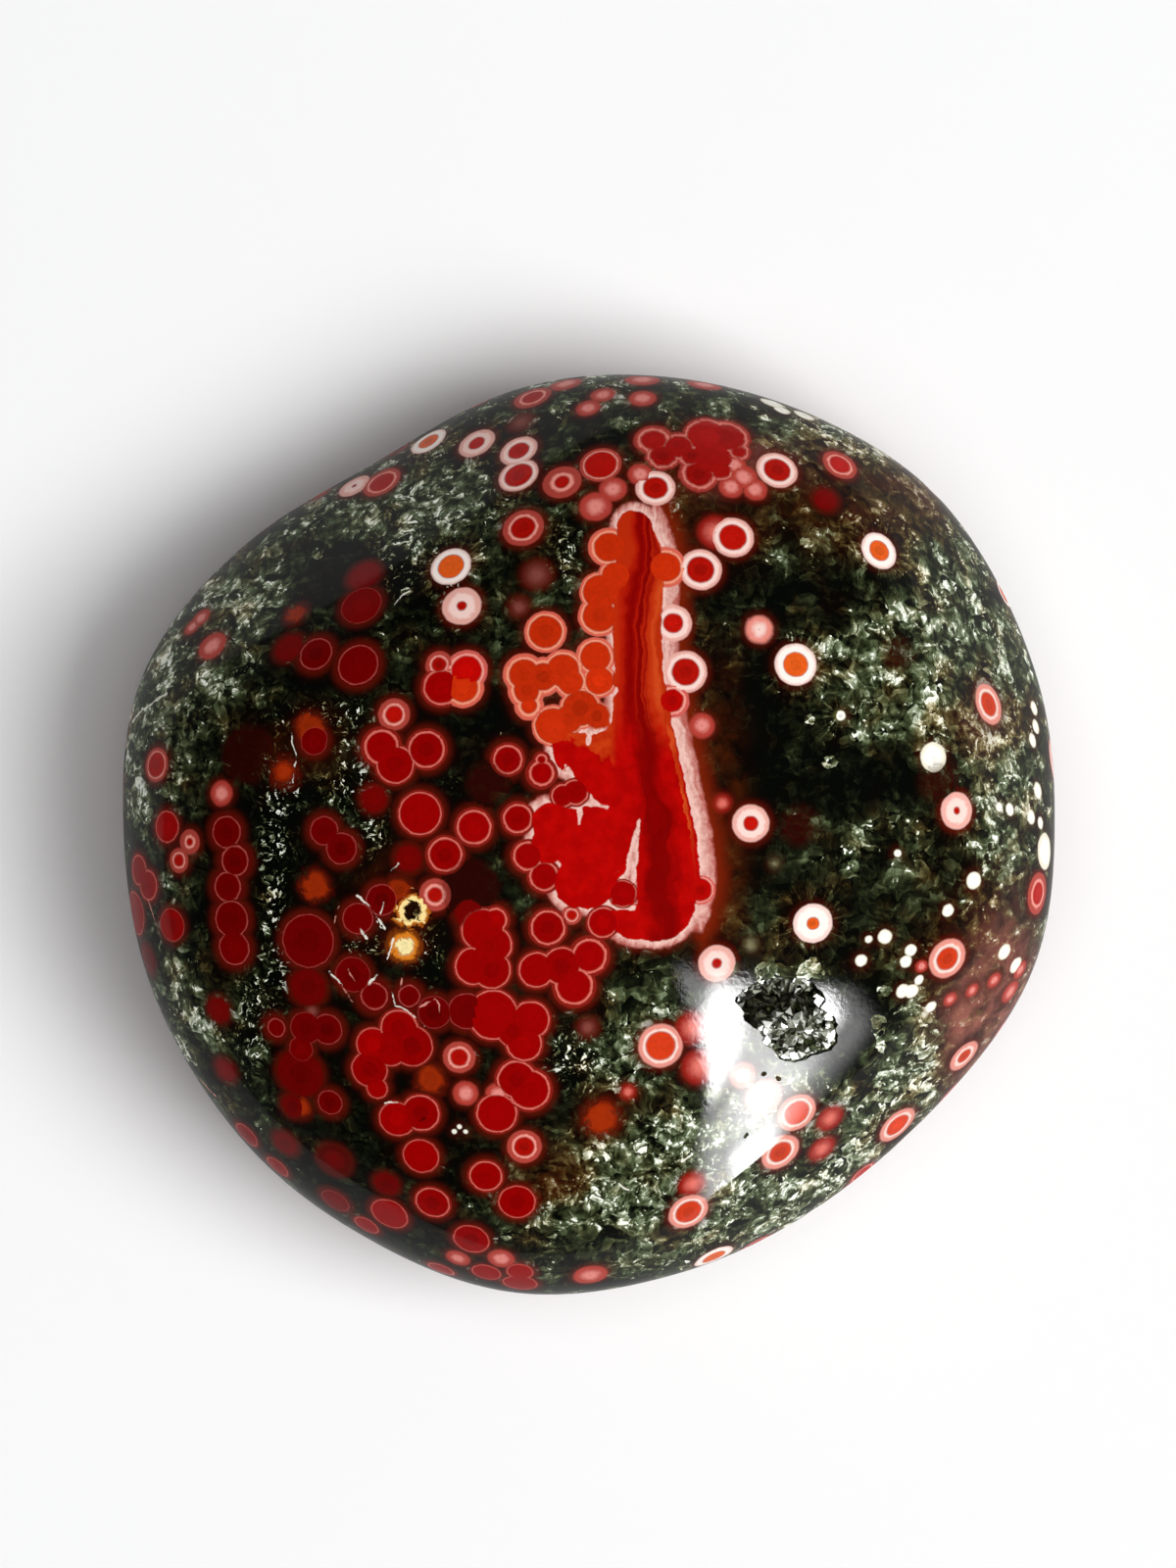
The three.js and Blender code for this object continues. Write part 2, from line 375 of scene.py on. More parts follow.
def cube_grid(count):
    """Unit vectors through an even grid on a cube's six sides, and the squares that join them."""
    ramp = np.tan(np.linspace(-1, 1, count + 1) * np.pi / 4)
    across, along = (g.ravel() for g in np.meshgrid(ramp, ramp, indexing="ij"))
    ones = np.ones_like(across)
    points = []
    for axis in range(3):
        points.append(np.roll(np.stack([ones, across, along], 1), axis, axis=1))
        points.append(np.roll(np.stack([-ones, along, across], 1), axis, axis=1))
    points = np.concatenate(points)
    first = (np.arange(count)[:, None] * (count + 1) + np.arange(count)).ravel()
    square = np.stack([first, first + count + 1, first + count + 2, first + 1], 1)
    squares = np.concatenate([square + side * (count + 1) ** 2 for side in range(6)])
    # The corners along the cube's edges come twice or thrice: one of each is kept.
    _, kept, number = np.unique(np.round(points, 6), axis=0, return_index=True, return_inverse=True)
    points = points[kept]
    return points / np.linalg.norm(points, axis=1, keepdims=True), number.ravel()[squares]


ways, squares = cube_grid(GRID)
body_points = ways * surface_reach(ways)[:, None]
body_points[:, 2] = np.maximum(body_points[:, 2], -REST_DROP) + REST_DROP
box_low, box_high = np.array(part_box("stone")[0]) / MM, np.array(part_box("stone")[1]) / MM
fit = (box_high - box_low) / (body_points.max(0) - body_points.min(0))
body_points = box_low + (body_points - body_points.min(0)) * fit
print("squares:", len(squares), " fitted to the box by", np.round(fit, 4))


# %% [markdown]
# ## The pocket and the pits
# A natural hole breaks the polish at the lower right. Its wall is rough, with steep sides, so a
# dent in the skin wouldn't do: the mesh would stretch. Cutting ragged bowls out of the body
# gives a sharp mouth and a steep wall. A few tiny pits are cut by the same boolean.

# %%  Ragged bowls to cut with
WALL_SEED = 11
POCKET = [
    # x, y, length, width, depth, turn
    (15.5, -13.6, 3.7, 2.4, 2.5, -4),
    (17.3, -15.9, 3.9, 2.6, 1.8, -24),
]
PITS = [
    (14.1, -19.2, 0.26, 0.2, 0.35, 20), (15.3, -19.6, 0.3, 0.2, 0.35, -30), (12.7, -24.2, 0.3, 0.16, 0.3, 60),
    (-21.4, 4.3, 0.34, 0.2, 0.35, 10), (-14.1, -6.2, 0.62, 0.5, 0.5, 60), (31.0, 17.5, 0.3, 0.2, 0.3, 40),
    (22.0, 7.2, 0.28, 0.16, 0.3, 0), (-13.3, -22.8, 0.4, 0.14, 0.3, 20),
]


HALVINGS = 30


def crown_height(x, y):
    """The level of the upper surface over a plan place, by halving the step between floor and sky."""
    low, high = np.zeros_like(x, dtype=float), np.full_like(x, CROWN_RISE * 1.2, dtype=float)
    for _ in range(HALVINGS):
        middle = (low + high) / 2
        place = np.stack([x, y, middle], 1)
        far = np.linalg.norm(place, axis=1)
        inside = far < surface_reach(place / far[:, None])
        low, high = np.where(inside, middle, low), np.where(inside, high, middle)
    return low + REST_DROP


def level_at(x, y):
    """The same for a single place."""
    return crown_height(np.array([x]), np.array([y]))[0]


def turned(across, along, turn):
    """A step across and along, turned on the floor by an angle in degrees."""
    swing = math.radians(turn)
    return (
        across * math.cos(swing) - along * math.sin(swing),
        across * math.sin(swing) + along * math.cos(swing),
    )


LUMP_HEIGHT = 0.035  # as a share of the bowl's size, like the next one
ROUGHNESS = 0.05


def ragged_bowl(x, y, length, width, depth, turn, detail, dice):
    """A closed, lumpy ball, flattened to a bowl, whose middle lies on the surface."""
    made = bmesh.new()
    bmesh.ops.create_icosphere(made, subdivisions=detail, radius=1.0)
    level = level_at(x, y)
    lumps = dice.normal(size=(5, 3))
    for corner in made.verts:
        way = np.array(corner.co)
        rough = 1 + LUMP_HEIGHT * np.sin(4 * (lumps @ way)).sum()
        rough += dice.uniform(-ROUGHNESS, ROUGHNESS)
        across, along, down = way * rough * (length, width, depth)
        across, along = turned(across, along, turn)
        corner.co = ((x + across) * MM, (y + along) * MM, (level + down) * MM)
    return made


def mesh_object(name, mesh):
    made = bpy.data.objects.new(name, mesh)
    bpy.context.scene.collection.objects.link(made)
    return made


wall_dice = np.random.default_rng(WALL_SEED)
cutters = bmesh.new()
for bowls, detail in ((POCKET, 4), (PITS, 2)):
    for bowl in bowls:
        part = ragged_bowl(*bowl, detail, wall_dice)
        scrap = bpy.data.meshes.new("scrap")
        part.to_mesh(scrap)
        cutters.from_mesh(scrap)
        part.free()
        bpy.data.meshes.remove(scrap)
cutter_mesh = bpy.data.meshes.new("cutters")
cutters.to_mesh(cutter_mesh)
cutters.free()
cutter = mesh_object("cutters", cutter_mesh)

# %%  The body with the pocket cut out
SHARP_FROM = 32  # degrees between two faces: the pocket's mouth is sharp, the polish is smooth
body_mesh = bpy.data.meshes.new("jasper_body")
body_mesh.from_pydata((body_points * MM).tolist(), [], squares.tolist())
body = mesh_object("jasper_body", body_mesh)
cut = body.modifiers.new("pocket", "BOOLEAN")
cut.operation = "DIFFERENCE"
cut.solver = "EXACT"
cut.use_self = True
cut.object = cutter
whole = body.evaluated_get(bpy.context.evaluated_depsgraph_get())
carved = bpy.data.meshes.new_from_object(whole)
body.modifiers.clear()
body.data = carved
body.data.name = "jasper_body"
bpy.data.objects.remove(cutter)
carved.shade_smooth()
carved.set_sharp_from_angle(angle=math.radians(SHARP_FROM))
carved.calc_loop_triangles()
print("triangles in the body:", len(carved.loop_triangles))

# %% [markdown]
# ## The orbs
# Each orb grew outwards from a seed crystal, so it is a ball, and the polish cuts it to a disc:
# a core, a ring, and a dark halo. Cut near the rim, a disc is seen on edge and turns into an
# ellipse by itself, so only the middle and two reaches are needed. The orbs fall into a few
# families by colour. Those in view are listed; each entry is x, y, the core's reach and
# the ring's, in millimetres, and a core of 0 is a blank disc.

# %%  The orbs on the upper side, by family
ORBS = {
    "white target": [
        (-13.0, 32.0, 0.9, 1.6), (-11.0, 21.5, 1.1, 1.7), (16.6, 13.6, 1.0, 1.7),
        (23.4, 22.8, 0.9, 1.6), (18.0, -7.1, 0.5, 1.6), (10.2, -34.3, 1.0, 1.7),
    ],
    "warm target": [
        (32.3, 10.5, 1.0, 1.7), (5.8, -16.9, 1.2, 1.8), (25.1, -23.6, 1.1, 1.8),
        (30.5, -18.0, 0.7, 1.5), (16.8, -22.4, 1.1, 1.7), (28.9, -10.0, 1.0, 1.7),
        (8.1, -30.4, 1.1, 1.7), (15.5, -25.6, 1.0, 1.7),
    ],
    "red target": [
        (-9.0, 31.6, 0.7, 1.6), (-5.6, 30.9, 0.9, 1.6), (-5.6, 28.9, 1.2, 1.7), (5.4, 27.8, 1.0, 1.6),
        (15.2, 29.3, 1.1, 1.7), (11.6, 23.8, 1.1, 1.7), (9.0, 21.2, 1.1, 1.7), (6.8, 16.9, 0.8, 1.5),
        (7.8, 13.0, 1.1, 1.7), (13.0, 0.9, 0.6, 1.5), (-10.1, 18.3, 0.4, 1.6), (29.6, 1.9, 0.3, 1.5),
        (10.3, -10.3, 0.4, 1.5), (-19.4, 28.9, 0.2, 1.4),
    ],
    "pink target": [
        (-16.7, 28.5, 1.1, 1.7), (1.0, 29.7, 1.3, 1.7), (-2.1, 28.3, 0.6, 1.6), (-5.2, 24.6, 1.0, 1.7),
        (-12.2, -4.8, 0.6, 1.3), (-34.8, 5.6, 1.0, 1.4), (-32.0, -0.6, 0.3, 1.0),
        (-32.9, -2.1, 0.5, 1.0), (20.3, 29.8, 0.9, 1.5), (36.4, -4.8, 0.9, 1.7),
        (-5.1, -25.0, 0.8, 1.4), (-10.3, -17.8, 0.7, 1.3), (-1.3, -6.4, 0.4, 0.8),
        (-15.5, 9.6, 0.7, 1.3), (-11.9, 13.6, 0.6, 1.1), (-4.5, 35.4, 0.9, 1.6),
    ],
    "red": [
        (-11.7, 11.8, 1.3, 1.7), (-16.5, 7.0, 1.2, 1.7), (-15.4, 5.6, 1.4, 1.7),
        (-12.9, 6.8, 1.3, 1.7), (-9.1, 0.6, 1.2, 1.6), (-11.4, -1.6, 1.2, 1.6), (-6.4, 6.0, 1.0, 1.4),
        (-3.7, 4.9, 0.8, 1.3), (-3.7, 6.0, 0.3, 0.7), (-13.4, 1.7, 1.6, 1.9), (-3.5, -3.3, 1.0, 1.4),
        (-3.2, -7.4, 1.2, 1.6), (0.1, -9.7, 1.2, 1.7), (-1.1, -12.1, 1.3, 1.8),
        (-4.1, -10.8, 1.3, 1.6), (-2.1, -10.5, 1.4, 1.7), (-8.4, -7.6, 1.6, 1.9),
        (-7.4, -6.8, 0.8, 1.2), (-7.6, -8.8, 1.4, 1.7), (-9.1, -10.5, 1.4, 1.7),
        (-7.7, -10.8, 1.4, 1.7), (-7.6, -14.4, 1.9, 2.2), (-4.6, -14.8, 1.4, 1.7),
        (-5.1, -16.7, 1.3, 1.6), (-6.0, -15.7, 1.2, 1.4), (-15.1, -15.5, 1.4, 1.7),
        (-17.2, -16.8, 1.3, 1.5), (-14.1, -16.9, 1.6, 1.8), (-15.9, -17.1, 1.4, 1.6),
        (-17.5, -18.8, 1.4, 1.6), (-16.9, -20.3, 0.8, 1.0), (-5.7, -19.6, 1.4, 1.8),
        (-4.7, -20.4, 1.5, 1.9), (-7.3, -22.3, 1.5, 1.8), (-13.4, -22.3, 1.4, 1.7),
        (-15.3, -22.8, 1.4, 1.6), (-13.4, -25.8, 1.4, 1.6), (-8.2, -27.4, 1.2, 1.5),
        (-5.7, -29.5, 1.4, 1.6), (-12.5, -29.6, 1.3, 1.6), (-16.0, -30.6, 1.5, 1.7),
        (-17.9, -31.6, 1.0, 1.2), (-9.4, -32.6, 1.4, 1.6), (-8.2, -35.4, 1.1, 1.3),
        (-5.5, -35.3, 1.0, 1.2), (-5.5, -36.3, 1.3, 1.5), (-11.9, -35.2, 1.0, 1.3),
        (-27.6, -24.3, 1.1, 1.3), (-25.1, -26.9, 1.0, 1.2), (-33.9, 0.6, 1.2, 1.4),
        (-36.3, -2.9, 1.1, 1.4), (-35.5, -4.1, 1.1, 1.4), (-36.6, -6.4, 1.7, 1.9),
        (-33.5, -7.3, 1.3, 1.4), (1.2, -7.0, 1.1, 1.4), (2.8, -4.7, 1.0, 1.2), (-1.0, 3.4, 0.9, 1.2),
        (-2.0, 3.1, 0.8, 1.1), (-5.6, 1.3, 1.0, 1.4), (-4.8, -1.7, 1.0, 1.4),
    ],
    "scarlet": [
        (-9.7, 13.1, 1.2, 1.7), (6.7, 10.7, 0.9, 1.4), (9.0, -4.4, 0.9, 1.2),
    ],
    "orange": [
        (-3.4, 16.2, 1.3, 1.7), (-10.0, 11.8, 1.2, 1.7), (-5.1, 12.8, 1.2, 1.7),
        (-4.9, 11.5, 1.0, 1.5), (-3.6, 12.6, 1.1, 1.6), (-2.0, 13.1, 1.3, 1.7), (-1.4, 12.2, 1.0, 1.4),
        (-4.7, 10.3, 0.6, 1.2), (0.6, 14.2, 1.2, 1.6), (0.9, 12.3, 1.1, 1.4), (-0.6, 10.1, 1.4, 1.7),
        (-2.8, 8.7, 1.4, 1.7), (1.7, 23.0, 1.2, 1.7), (1.0, 19.4, 1.4, 1.7), (0.9, 17.5, 1.3, 1.7),
        (6.2, 21.4, 1.2, 1.7), (2.2, 20.7, 1.1, 1.4), (-1.6, 9.2, 1.1, 1.3), (0.7, 9.5, 1.0, 1.1),
    ],
    "dim red": [
        (-29.0, 0.2, 1.2, 1.5), (-28.9, -4.2, 1.1, 1.5), (-28.6, -6.8, 1.4, 1.7),
        (-28.4, -9.1, 1.3, 1.6), (-28.3, -2.1, 1.1, 1.5), (-21.8, 14.5, 1.3, 1.6),
        (-18.4, 13.6, 1.6, 1.9), (-18.2, 18.4, 1.7, 1.8), (-21.1, 0.3, 1.1, 1.3),
        (-19.7, -1.1, 1.2, 1.4), (-20.4, -29.6, 1.2, 1.4), (-20.7, -21.5, 1.0, 1.2),
        (-22.6, -15.5, 1.3, 1.4), (-20.9, -15.6, 1.2, 1.4), (-23.0, -17.2, 1.0, 1.1),
        (-25.0, -15.5, 0.7, 1.0), (-22.4, -8.5, 2.1, 2.3), (-18.8, -11.2, 1.4, 1.5),
        (-17.1, -12.9, 1.0, 1.4), (-14.3, -12.9, 0.8, 1.1), (-12.3, -14.2, 1.3, 1.4),
        (-9.7, -14.1, 1.4, 1.6), (-21.9, 7.5, 1.1, 1.2), (-18.4, -6.7, 1.2, 1.4),
        (-16.5, -5.2, 1.2, 1.4),
    ],
    "deep red": [
        (-18.0, 20.8, 1.3, 1.4), (-24.0, 15.0, 1.1, 1.2), (-17.1, 2.9, 1.0, 1.0),
        (-14.3, -1.9, 1.0, 1.1), (-22.4, -12.2, 1.4, 1.5), (-23.1, -19.2, 1.9, 2.0),
        (-16.2, -28.1, 1.0, 1.0), (-24.4, -24.9, 1.0, 1.1), (-29.7, -14.1, 1.0, 1.0),
        (-29.2, -19.0, 0.9, 1.0), (-20.4, -26.2, 0.5, 1.4), (-35.6, -10.1, 1.2, 1.3),
        (19.1, 26.9, 0.9, 1.0), (-9.5, -6.3, 1.1, 1.2), (-23.7, -21.8, 1.0, 1.0),
    ],
    "ghost": [
        (-27.3, 6.4, 2.0, 2.1), (-9.5, -4.3, 2.1, 2.1), (16.9, 0.7, 1.0, 1.3), (-7.9, 4.1, 1.4, 1.5),
        (28.2, 4.5, 1.2, 1.6), (24.9, 14.5, 0.7, 1.1),
    ],
    "ember": [
        (-22.3, 8.5, 1.0, 1.1), (-24.3, 5.0, 0.7, 1.1), (-21.8, -4.1, 1.0, 1.1),
        (-23.5, 17.7, 0.7, 0.8), (-23.1, -21.9, 0.7, 0.9), (-12.6, -19.6, 1.0, 1.2),
        (1.1, -22.7, 1.1, 1.4), (-15.1, -4.5, 0.8, 1.1),
    ],
    "pink": [
        (0.6, 26.3, 0.0, 1.3), (2.0, 27.7, 0.0, 1.1), (4.2, 28.9, 0.0, 1.0), (11.7, 29.7, 0.0, 1.0),
        (12.5, 28.7, 0.0, 1.1), (11.5, 27.9, 0.0, 1.0), (13.4, 27.7, 0.0, 1.0),
        (-9.8, -20.7, 0.0, 1.0), (-7.2, -20.8, 0.0, 1.0), (-10.5, -34.2, 0.0, 1.0),
        (-7.0, -34.2, 0.0, 1.1), (0.2, -35.6, 0.0, 1.4), (-30.3, 15.2, 0.0, 1.3),
        (-31.3, 17.5, 0.0, 0.9), (-32.0, 16.8, 0.0, 0.8), (-29.4, 3.3, 0.0, 1.0), (9.1, 8.7, 0.0, 1.0),
        (0.0, 34.4, 0.0, 1.0), (1.2, 35.5, 0.0, 1.0), (4.4, 35.2, 0.0, 1.1), (9.4, 36.4, 0.0, 1.4),
        (31.0, -12.6, 0.0, 0.6), (29.2, -13.3, 0.0, 0.6), (26.8, -10.6, 0.0, 0.5),
        (32.8, -11.8, 0.0, 0.7), (34.2, -12.8, 0.0, 1.0), (35.0, -11.0, 0.0, 0.8),
        (4.4, 36.8, 0.0, 1.4), (-1.8, 36.5, 0.0, 1.3),
    ],
    "rose": [
        (19.5, -22.9, 0.0, 1.2), (18.9, -25.4, 0.0, 1.2), (8.4, -28.1, 0.0, 1.1),
        (8.9, -18.6, 0.0, 1.4), (8.3, -15.5, 0.0, 1.3), (10.2, 24.2, 0.0, 1.4), (10.7, 2.5, 0.0, 0.7),
        (3.2, -20.6, 0.0, 0.6),
    ],
    "mottled": [
        (5.3, 31.7, 1.0, 1.6), (6.0, 30.4, 1.0, 1.4), (7.3, 31.2, 1.1, 1.5), (9.7, 32.0, 1.7, 2.1),
        (11.2, 32.0, 1.4, 1.9), (9.9, 30.3, 1.6, 2.0), (8.9, 28.9, 1.1, 1.6), (10.6, 29.4, 0.9, 1.3),
        (12.1, 30.8, 0.6, 1.0), (10.7, 30.9, 0.7, 1.0), (8.3, 30.4, 0.8, 1.2), (11.8, 31.7, 0.7, 1.1),
    ],
    "dull": [
        (-4.1, 20.8, 0.0, 1.1), (-5.5, 18.2, 0.0, 0.7), (-5.4, 33.3, 0.0, 1.0),
        (-22.1, -14.2, 0.0, 0.6), (0.0, -15.4, 0.0, 0.7),
    ],
    "blush": [
        (14.1, -21.1, 0.0, 1.5), (12.4, -19.3, 0.0, 1.0), (13.7, 16.4, 0.0, 1.1),
    ],
    "star": [
        (20.1, 9.5, 0.0, 0.4),
    ],
    # its gold-white line is painted light shining through the chipped pit
    "amber lit chip": [
        (-14.1, -6.0, 0.7, 1.4),
    ],
    "glow": [
        (-14.7, -8.9, 0.7, 1.5),
    ],
    "faint": [
        (13.0, -8.8, 0.0, 0.6), (14.9, -2.3, 0.0, 0.4), (11.5, -10.7, 0.0, 0.5),
    ],
    "white": [
        (27.7, 6.2, 0.0, 1.2), (31.0, -3.7, 0.0, 0.7), (28.9, -6.1, 0.0, 0.5), (23.8, -8.2, 0.0, 0.6),
        (21.9, -10.1, 0.0, 0.5), (22.5, -8.4, 0.0, 0.3), (25.9, -9.3, 0.0, 0.5),
        (25.5, -10.2, 0.0, 0.5), (26.6, -11.7, 0.0, 0.4), (25.3, -12.6, 0.0, 0.6),
        (26.0, -12.6, 0.0, 0.6), (27.6, -13.9, 0.0, 0.5), (33.6, -9.5, 0.0, 0.7),
        (34.6, -10.6, 0.0, 0.7), (36.3, 8.7, 0.0, 0.6), (36.0, 7.6, 0.0, 0.6), (36.4, 3.5, 0.0, 0.7),
        (33.1, 2.2, 0.0, 0.4), (34.0, 2.0, 0.0, 0.5), (35.8, 1.4, 0.0, 0.6), (36.6, 0.9, 0.0, 0.5),
        (37.0, -1.4, 0.0, 1.5), (14.9, 34.9, 0.0, 1.0), (15.7, 34.3, 0.0, 0.7), (17.5, 33.9, 0.0, 0.9),
        (20.2, 9.5, 0.1, 0.4), (36.9, 10.4, 0.0, 0.6), (24.8, -1.5, 0.0, 0.3),
        (-10.3, -23.4, 0.0, 0.2), (-9.8, -23.8, 0.0, 0.2), (-10.7, -23.8, 0.0, 0.2),
    ],
}
print("orbs placed by hand:", sum(len(group) for group in ORBS.values()))


# %% [markdown]
# Each family has a look: the colour of its core, of the line round the core and of the band
# outside it, how far its edges are blurred, how strong its dark halo is, and three shares: how
# solid the core and the ring are, and how much of the ring the inner line takes up. The last two
# say how jagged the outline is and how strongly fibres brush out from it. Orbs that lie a little
# below the surface are blurred and dim, because the chalcedony over them is only half clear. The
# colours are written as on a paint card, and turned into linear light after the table.

# %%  How each family looks
LOOKS = {
    # core, inner line, outer band, blur in mm, halo, core solid, ring solid, line's share, jag, brush
    "white target": ((232, 94, 28), (255, 240, 232), (242, 208, 198), 0.08, 0.45, 1.0, 1.0, 0.72, 0.0, 1.0),
    "red target": ((182, 18, 8), (248, 212, 202), (230, 170, 158), 0.09, 0.9, 1.0, 1.0, 0.60, 0.0, 0.5),
    "warm target": ((206, 58, 24), (250, 212, 200), (222, 142, 128), 0.11, 0.9, 1.0, 1.0, 0.40, 0.02, 0.4),
    "pink target": ((172, 14, 6), (238, 150, 136), (172, 66, 56), 0.09, 1.0, 1.0, 1.0, 0.35, 0.02, 0.2),
    "red": ((148, 1, 1), (218, 106, 94), (130, 28, 20), 0.06, 1.0, 1.0, 1.0, 0.42, 0.03, 0.1),
    "scarlet": ((184, 6, 3), (240, 150, 136), (204, 92, 84), 0.07, 1.0, 1.0, 1.0, 0.45, 0.05, 0.1),
    "mottled": ((154, 16, 12), (216, 122, 110), (160, 56, 48), 0.13, 0.8, 1.0, 1.0, 0.45, 0.16, 0.3),
    "orange": ((196, 44, 8), (240, 150, 120), (214, 98, 80), 0.07, 0.8, 1.0, 1.0, 0.45, 0.04, 0.2),
    "dim red": ((110, 1, 1), (190, 84, 76), (92, 10, 7), 0.08, 1.0, 1.0, 0.95, 0.28, 0.04, 0.1),
    "deep red": ((108, 3, 2), (100, 6, 4), (78, 4, 2), 0.24, 1.0, 0.9, 0.85, 0.5, 0.08, 0.1),
    "ghost": ((44, 5, 2), (34, 4, 2), (24, 3, 2), 0.80, 0.15, 0.6, 0.5, 0.5, 0.3, 0.0),
    "ember": ((156, 44, 8), (116, 30, 6), (80, 20, 6), 0.30, 0.9, 0.85, 0.8, 0.4, 0.35, 0.2),
    "pink": ((222, 142, 134), (224, 136, 126), (176, 62, 52), 0.17, 0.8, 0.0, 1.0, 0.50, 0.04, 0.1),
    "rose": ((226, 118, 104), (226, 116, 102), (150, 30, 22), 0.30, 0.8, 0.0, 0.95, 0.45, 0.06, 0.1),
    "dull": ((140, 76, 66), (140, 76, 66), (100, 40, 32), 0.28, 0.8, 0.0, 0.75, 0.50, 0.06, 0.1),
    "blush": ((250, 222, 214), (250, 214, 204), (232, 138, 124), 0.20, 0.7, 0.0, 0.95, 0.50, 0.08, 0.3),
    "star": ((150, 146, 84), (150, 144, 84), (104, 102, 56), 0.26, 0.0, 0.0, 0.8, 0.50, 0.1, 1.2),
    # painted light: the bright jagged gold-white line stands for light shining through the chipped pit
    "amber lit chip": ((30, 12, 4), (255, 226, 150), (180, 96, 22), 0.10, 0.3, 1.0, 1.0, 0.62, 0.7, 0.5),
    "glow": ((255, 236, 170), (224, 130, 34), (112, 48, 10), 0.14, 0.3, 1.0, 0.95, 0.50, 0.3, 0.2),
    "faint": ((150, 146, 110), (150, 146, 110), (96, 90, 60), 0.30, 0.2, 0.0, 0.6, 0.50, 0.2, 0.1),
    "white": ((255, 250, 240), (255, 252, 240), (238, 230, 208), 0.08, 0.3, 0.0, 1.0, 0.75, 0.04, 0.4),
}
CORE, LINE, BAND, BLUR, HALO, CORE_SOLID, RING_SOLID, LINE_SHARE, JAG, BRUSH = range(10)
for name, look in LOOKS.items():
    LOOKS[name] = (*(tint(*colour) for colour in look[:BLUR]), *look[BLUR:])
FAMILIES = list(LOOKS)


# %% [markdown]
# The flanks and the underside are placed by dice, with a fixed seed so that the stone is the
# same each time. A new orb keeps its distance from the others, and now and then it starts a
# short chain of touching orbs, because the real ones like to grow in clusters.

# %%  Middles on the surface, and the orbs that nobody placed
ORB_SEED = 5
HIDDEN_TRIES = 1500
HIDDEN_BELOW = 14.3  # above this level the orbs are listed
HIDDEN_GAP = 1.9
CHAIN_CHANCE = 0.32
CHAIN_STEP = 1.3  # from one orb's middle to the next, in reaches of the ring
JUST_INSIDE = 0.998  # of the outline's reach


def on_surface(x, y):
    """Points on the upper surface over plan places; one past the outline is drawn back to it."""
    far = np.hypot(x, y)
    edge = np.stack([x / far, y / far, np.full_like(x, 0.02)], 1)
    most = surface_reach(edge / np.linalg.norm(edge, axis=1, keepdims=True)) * JUST_INSIDE
    draw = np.minimum(1, most / far)
    return np.stack([x * draw, y * draw, crown_height(x * draw, y * draw)], 1)


def on_skin(way):
    """Where the surface lies in a direction from the middle, with its height above the floor."""
    spot = unit(way) * surface_reach(unit(way)[None])[0]
    spot[2] = max(spot[2], -REST_DROP) + REST_DROP
    return spot


placed = np.array([entry for group in ORBS.values() for entry in group])
families = [FAMILIES.index(name) for name, group in ORBS.items() for _ in group]
middles = list(on_surface(placed[:, 0], placed[:, 1]))
reaches = [tuple(entry) for entry in placed[:, 2:]]

orb_dice = np.random.default_rng(ORB_SEED)
# A family that is named twice is drawn twice as often.
LEFT = ("red", "dim red", "red", "deep red", "pink target", "pink", "ember")
RIGHT = ("white target", "red target", "white", "pink target", "white", "pink")
LEFT, RIGHT = ([FAMILIES.index(name) for name in names] for names in (LEFT, RIGHT))
for _ in range(HIDDEN_TRIES):
    way = orb_dice.normal(size=3)
    way[2] = -abs(way[2]) * 0.9
    spot = on_skin(way)
    if spot[2] > HIDDEN_BELOW:
        continue
    ring = orb_dice.uniform(0.9, 1.75)
    family = orb_dice.choice(LEFT if spot[0] < 10 * orb_dice.normal() else RIGHT)
    links = orb_dice.integers(1, 4) if orb_dice.random() < CHAIN_CHANCE else 0
    gaps = np.linalg.norm(np.array(middles) - spot, axis=1) - np.array(reaches)[:, 1]
    if gaps.min() < HIDDEN_GAP:
        continue
    for _ in range(links + 1):
        if FAMILIES[family] == "white":
            ring = orb_dice.uniform(0.35, 0.9)
        middles.append(spot)
        reaches.append((ring * orb_dice.uniform(0.35, 0.78), ring))
        families.append(family)
        step = unit(orb_dice.normal(size=3)) * ring * CHAIN_STEP
        spot = on_skin(spot - (0, 0, REST_DROP) + step)
middles, reaches = np.array(middles), np.array(reaches)
print("orbs in all:", len(middles))


# %% [markdown]
# ## Letting each face know its orbs
# A disc drawn from values at the mesh's corners would have a ragged edge, because the corners
# are half a millimetre apart. So the corners don't hold the pattern. Each face holds the middle
# and the reaches of the two orbs that are nearest to it, and the shader measures the true
# distance to them at every point. Two are enough: their union is smooth, and a third orb only
# matters where it becomes one of the two.

# %%  The two nearest orbs of every face
def store(mesh, name, kind, domain, values):
    layer = mesh.attributes.new(name, kind, domain)
    key = "vector" if kind == "FLOAT_VECTOR" else "value"
    layer.data.foreach_set(key, np.asarray(values, dtype=np.float32).ravel())


blurs = np.array([LOOKS[FAMILIES[f]][BLUR] for f in families])
halos = np.array([LOOKS[FAMILIES[f]][HALO] for f in families])
shades = orb_dice.uniform(0, 1, len(families))
details = np.stack([reaches[:, 0], reaches[:, 1], blurs], 1)
manners = np.stack([np.array(families, dtype=float), halos, shades], 1)

centres = np.empty(len(carved.polygons) * 3)
carved.polygons.foreach_get("center", centres)
centres = centres.reshape(-1, 3) / MM
nearest = np.empty((len(centres), 2), dtype=int)
AT_ONCE = 4096  # faces, so that the table of distances stays small
for start in range(0, len(centres), AT_ONCE):
    some = centres[start:start + AT_ONCE]
    gaps = np.linalg.norm(some[:, None] - middles[None], axis=2) - reaches[:, 1]
    nearest[start:start + AT_ONCE] = np.argsort(gaps, axis=1)[:, :2]
for rank, name in enumerate(("first", "second")):
    chosen = nearest[:, rank]
    store(carved, name + "_middle", "FLOAT_VECTOR", "FACE", middles[chosen])
    store(carved, name + "_reach", "FLOAT_VECTOR", "FACE", details[chosen])
    store(carved, name + "_manner", "FLOAT_VECTOR", "FACE", manners[chosen])


